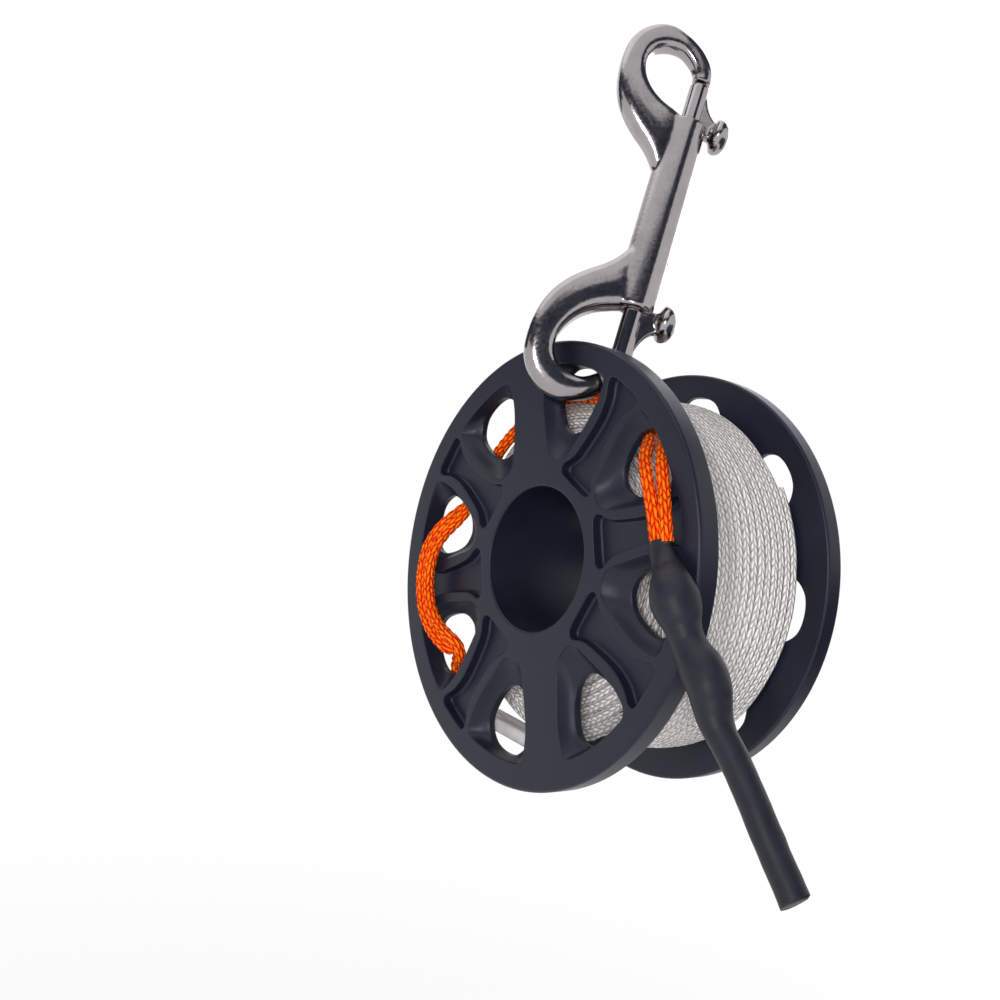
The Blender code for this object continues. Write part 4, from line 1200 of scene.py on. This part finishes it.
def make_snap_body():
    body = loose_steel("cast_snap_body", loft(barrel_rings()))
    for end in (1, -1):
        cut(body, loose_steel("hook", loft(hook_rings(end))), "UNION")
    tumble(body, voxel=0.3, rounds=14)
    for start, stop in BORES:
        cut(body, loose_steel("bore", rod(PIN_RADIUS + BORE_CLEARANCE, start, stop)))
    slot_size = Vector((SLOT_BOTTOM - SLOT_OUTSIDE, SLOT_WIDTH, SLOT_END - SLOT_START))
    for end in (1, -1):
        middle = Vector(((SLOT_BOTTOM + SLOT_OUTSIDE) / 2, 0, end * (SLOT_END + SLOT_START) / 2))
        cut(body, loose_steel("slot", block(middle, slot_size)))
    body.data.shade_smooth()
    body.data.set_sharp_from_angle(angle=math.radians(40))
    enter_piece(body, "snap", "snap_body")


make_snap_body()

# %% [markdown]
# Each bolt is a drawn pin with a rounded nose. Its thumb knob is a cast button on a
# small web that runs in the slot.

# %% Bolts and knobs
PIN_TAIL, PIN_NOSE, PIN_TIP = 19.5, 35.1, 36.1
PIN_CHAMFER, NOSE_ROUND, NOSE_ANGLES, TIP_RADIUS = 0.15, 0.9, (0.35, 0.8, 1.2), 1.3
WEB_HALF_THICKNESS = 1.25
WEB = (  # outline of the web between pin and button: (across, along)
    (-1.0, 22.9), (-6.4, 22.9), (-6.6, 27.0), (-5.2, 27.9), (-4.1, 29.0), (-3.2, 30.5),
    (-2.6, 32.0), (-2.2, 33.4), (-1.0, 33.6),
)
BUTTON_PLACE = 24.6
BUTTON = (  # profile of the button: (radius, outwards)
    (0, 4.9), (1.8, 4.9), (2.2, 5.5), (3.2, 5.9), (3.9, 6.2), (4.25, 6.7), (4.35, 7.3),
    (4.1, 8.1), (3.5, 8.9), (2.6, 9.5), (1.4, 9.8), (0, 9.9),
)


def pin_profile():
    profile = [(0, PIN_TAIL), (PIN_RADIUS - PIN_CHAMFER, PIN_TAIL)]
    profile += [(PIN_RADIUS, PIN_TAIL + PIN_CHAMFER), (PIN_RADIUS, PIN_NOSE - 0.1)]
    for angle in NOSE_ANGLES:
        radius = PIN_RADIUS - NOSE_ROUND + NOSE_ROUND * math.cos(angle)
        profile.append((radius, PIN_NOSE + NOSE_ROUND * math.sin(angle)))
    return profile + [(TIP_RADIUS, PIN_TIP - 0.05), (0, PIN_TIP)]


def make_bolt(place, end):
    bm = turned([(r, end * a) for r, a in pin_profile()], 48, UP, RIGHT, unit=1)
    bmesh.ops.transform(bm, matrix=SNAP, verts=bm.verts)
    finish_piece(place + "_pin", bm, drawn_steel, place + "_bolt",
                 place + "_bolt")


def make_knob(place, end):
    sides = (-WEB_HALF_THICKNESS, WEB_HALF_THICKNESS)
    web = loft([[Vector((x, side, end * z)) for x, z in WEB] for side in sides])
    bmesh.ops.bevel(web, geom=list(web.edges), offset=0.3, segments=3, profile=0.5,
                    affect="EDGES", material=-1)
    button = turned([(r, -out) for r, out in BUTTON], 48, RIGHT, BEHIND, unit=1)
    bmesh.ops.translate(button, vec=UP * end * BUTTON_PLACE, verts=button.verts)
    knob = loose_steel(place + "_thumb_button", web)
    cut(knob, loose_steel(place + "_cap", button), "UNION")
    tumble(knob, voxel=0.2, rounds=6)
    knob.data.shade_smooth()
    enter_piece(knob, place + "_bolt", place + "_thumb_knob")


for place, end in (("upper", 1), ("lower", -1)):
    make_bolt(place, end)
    make_knob(place, end)

# %% [markdown]
# Each spring sits in the barrel behind its bolt. The real one shortens as the bolt comes back;
# here it is a fixed coil that rides with the snap.

# %% Springs
SPRING_START, SPRING_END, SPRING_CURLS = 2.05, 18.95, 8
CURL_POINTS = 24
COIL_RADIUS, WIRE_RADIUS, WIRE_SIDES = 1.65, 0.25, 10


def coil_points(end):
    points = []
    for i in range(SPRING_CURLS * CURL_POINTS + 1):
        angle = math.tau * i / CURL_POINTS
        along = between((SPRING_START, SPRING_END), i / (SPRING_CURLS * CURL_POINTS))
        out = Vector((math.cos(angle), math.sin(angle), 0))
        points.append(SNAP @ (out * COIL_RADIUS + UP * end * along))
    return points


def make_spring(place, end):
    points = coil_points(end)
    rings = []
    for point, way in zip(points, ways_along(points)):
        across = SNAP_UP.cross(way).normalized()
        deep = way.cross(across)
        rings.append([
            point + (across * math.cos(angle) + deep * math.sin(angle)) * WIRE_RADIUS * MM
            for angle in ring_angles(WIRE_SIDES)
        ])
    spring = finish_piece(place + "_coil_spring", loft(rings), spring_wire, "snap",
                          place + "_spring", sharp=60)
    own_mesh(spring)


for place, end in (("upper", 1), ("lower", -1)):
    make_spring(place, end)

# %% [markdown]
# The floor is pale and far enough below that the hanging reel only shades it softly.
# Where the camera or a reflection looks past it, the background is plain white. The
# floor's own material fades to that white with distance, so no edge shows.

# %% Floor and background
FLOOR_DROP = 0.25
WHITE = (1, 1, 1, 1)


def seen_rays(tree):
    """One for a ray that is seen, straight, in a reflection or through clear plastic."""
    rays = node(tree, "ShaderNodeLightPath")
    seen = rays.outputs["Is Camera Ray"]
    for kind in ("Is Glossy Ray", "Is Transmission Ray"):
        seen = node(tree, MATH, [(0, seen), (1, rays.outputs[kind])], operation="MAXIMUM")
    return seen


def pale_floor():
    mat, tree, shader = new_material("pale_studio_floor", 0.8)
    feed(shader, [("Base Color", linear("#f4f4f4"))])
    place = node(tree, "ShaderNodeTexCoord").outputs["Object"]
    far = node(tree, "ShaderNodeVectorMath", [(0, place)], operation="LENGTH")
    fade = node(tree, "ShaderNodeMapRange", [
        ("Value", far.outputs["Value"]), ("From Min", 0.0), ("From Max", 0.7), ("To Min", 0.55),
    ])
    mix = node(tree, MATH, [(0, seen_rays(tree)), (1, fade)], operation="MULTIPLY")
    white = node(tree, "ShaderNodeEmission", [("Color", WHITE), ("Strength", 1.0)])
    both = node(tree, "ShaderNodeMixShader", [(0, mix), (1, shader), (2, white)])
    feed(tree.nodes["Material Output"], [("Surface", both)])
    return mat


def make_floor():
    bm = bmesh.new()
    bmesh.ops.create_circle(bm, cap_ends=True, segments=64, radius=4.0)
    bmesh.ops.translate(bm, vec=UP * (cad_bounds[0][2] - FLOOR_DROP), verts=bm.verts)
    floor = loose_piece("floor", bm, pale_floor())


def make_world():
    world = bpy.data.worlds.new("studio")
    world.use_nodes = True
    bpy.context.scene.world = world
    tree = world.node_tree
    soft = node(tree, "ShaderNodeBackground", [("Color", linear("#f2f2f4")), ("Strength", 0.2)])
    plain = node(tree, "ShaderNodeBackground", [("Color", WHITE), ("Strength", 1.0)])
    both = node(tree, "ShaderNodeMixShader", [(0, seen_rays(tree)), (1, soft), (2, plain)])
    feed(tree.nodes["World Output"], [("Surface", both)])


make_floor()
make_world()
print("floor", FLOOR_DROP, "m below the reel")

# %% [markdown]
# Two lamps stand beside the camera. One reaches through the holes to the line and is kept
# out of the reflections, the other is small and leaves the sparks in the steel. A wide
# weak one hangs above and another stands behind.

# %% Lamps
def soft_lamp(name, place, size, power, colour):
    """A round lamp at a place in metres from the reel, turned to it."""
    lamp = bpy.data.lights.new(name, "AREA")
    lamp.shape = "DISK"
    lamp.size = size
    lamp.energy = power
    lamp.color = linear(colour)[:3]
    holder = bpy.data.objects.new(name, lamp)
    holder.location = REEL + Vector(place)
    holder.rotation_euler = Vector(place).to_track_quat("Z", "Y").to_euler()
    bpy.context.scene.collection.objects.link(holder)
    print(name, power, "W")
    return holder


soft_lamp("key_lamp", (0.48, -0.89, 0.27), 0.13, 3.5, "#ffffff")
camera_lamp = soft_lamp("camera_lamp", (0.75, -0.69, 0.14), 0.3, 6.2, "#ffffff")
camera_lamp.visible_glossy = False
soft_lamp("top_lamp", (-0.5, -0.3, 1.0), 1.2, 2.0, "#ffffff")
soft_lamp("back_lamp", (-0.4, 0.9, 0.5), 0.9, 4.5, "#f6f8ff")

# %% [markdown]
# Bands of dark felt arch over the reel and stand low at its right. They light nothing,
# but polished steel and plastic show them, and their edges are the crisp borders in the
# steel's reflections.

# %% Felt
FELT_BANDS = (  # distance, then (azimuth, lowest and highest elevation) from the snap, degrees
    (1.4, ((-168, 12, 18), (-150, 12, 24), (-130, 12, 27), (-112, 12, 30), (-85, 14, 34),
           (-65, 18, 39), (-45, 18, 41), (-25, 16, 43), (-8, 18, 56), (4, 30, 72), (20, 43, 76),
           (45, 45, 76), (65, 42, 72), (85, 33, 66), (103, 18, 58), (120, 15, 42), (135, 15, 20))),
    (1.4, ((-190, 0, 10), (-175, -1, 15), (-150, -1, 15), (-132, 0, 10))),
    (0.6, ((0, -35, -20), (12, -40, 0), (40, -42, 2), (68, -40, 0), (80, -35, -20))),
)


def felt_band(name, distance, table, mat):
    """A strip of a ball round the snap between two heights."""
    bm = bmesh.new()
    verts = []
    for azimuth, *heights in smooth_curve(table, 4):
        turn = math.radians(azimuth)
        out = RIGHT * math.cos(turn) + BEHIND * math.sin(turn)
        for height in map(math.radians, heights):
            way = out * math.cos(height) + UP * math.sin(height)
            verts.append(bm.verts.new(SNAP.translation + way * distance))
    for a, b, c, d in zip(verts[0::2], verts[1::2], verts[3::2], verts[2::2]):
        bm.faces.new((a, b, c, d))
    band = loose_piece(name, bm, mat)
    band.visible_camera = False
    band.visible_diffuse = False
    band.visible_shadow = False


felt, _, shader = new_material("slate_blue_felt", 1.0)
feed(shader, [("Base Color", linear("#585e74")), ("Specular IOR Level", 0.0)])
for i, (distance, table) in enumerate(FELT_BANDS):
    felt_band("felt_band_%d" % i, distance, table, felt)
print("felt bands", len(FELT_BANDS))

# %% [markdown]
# Last, the box round the imported model is printed.

# %% Finish
print("cad", [[round(c, 4) for c in p] for p in cad_bounds])
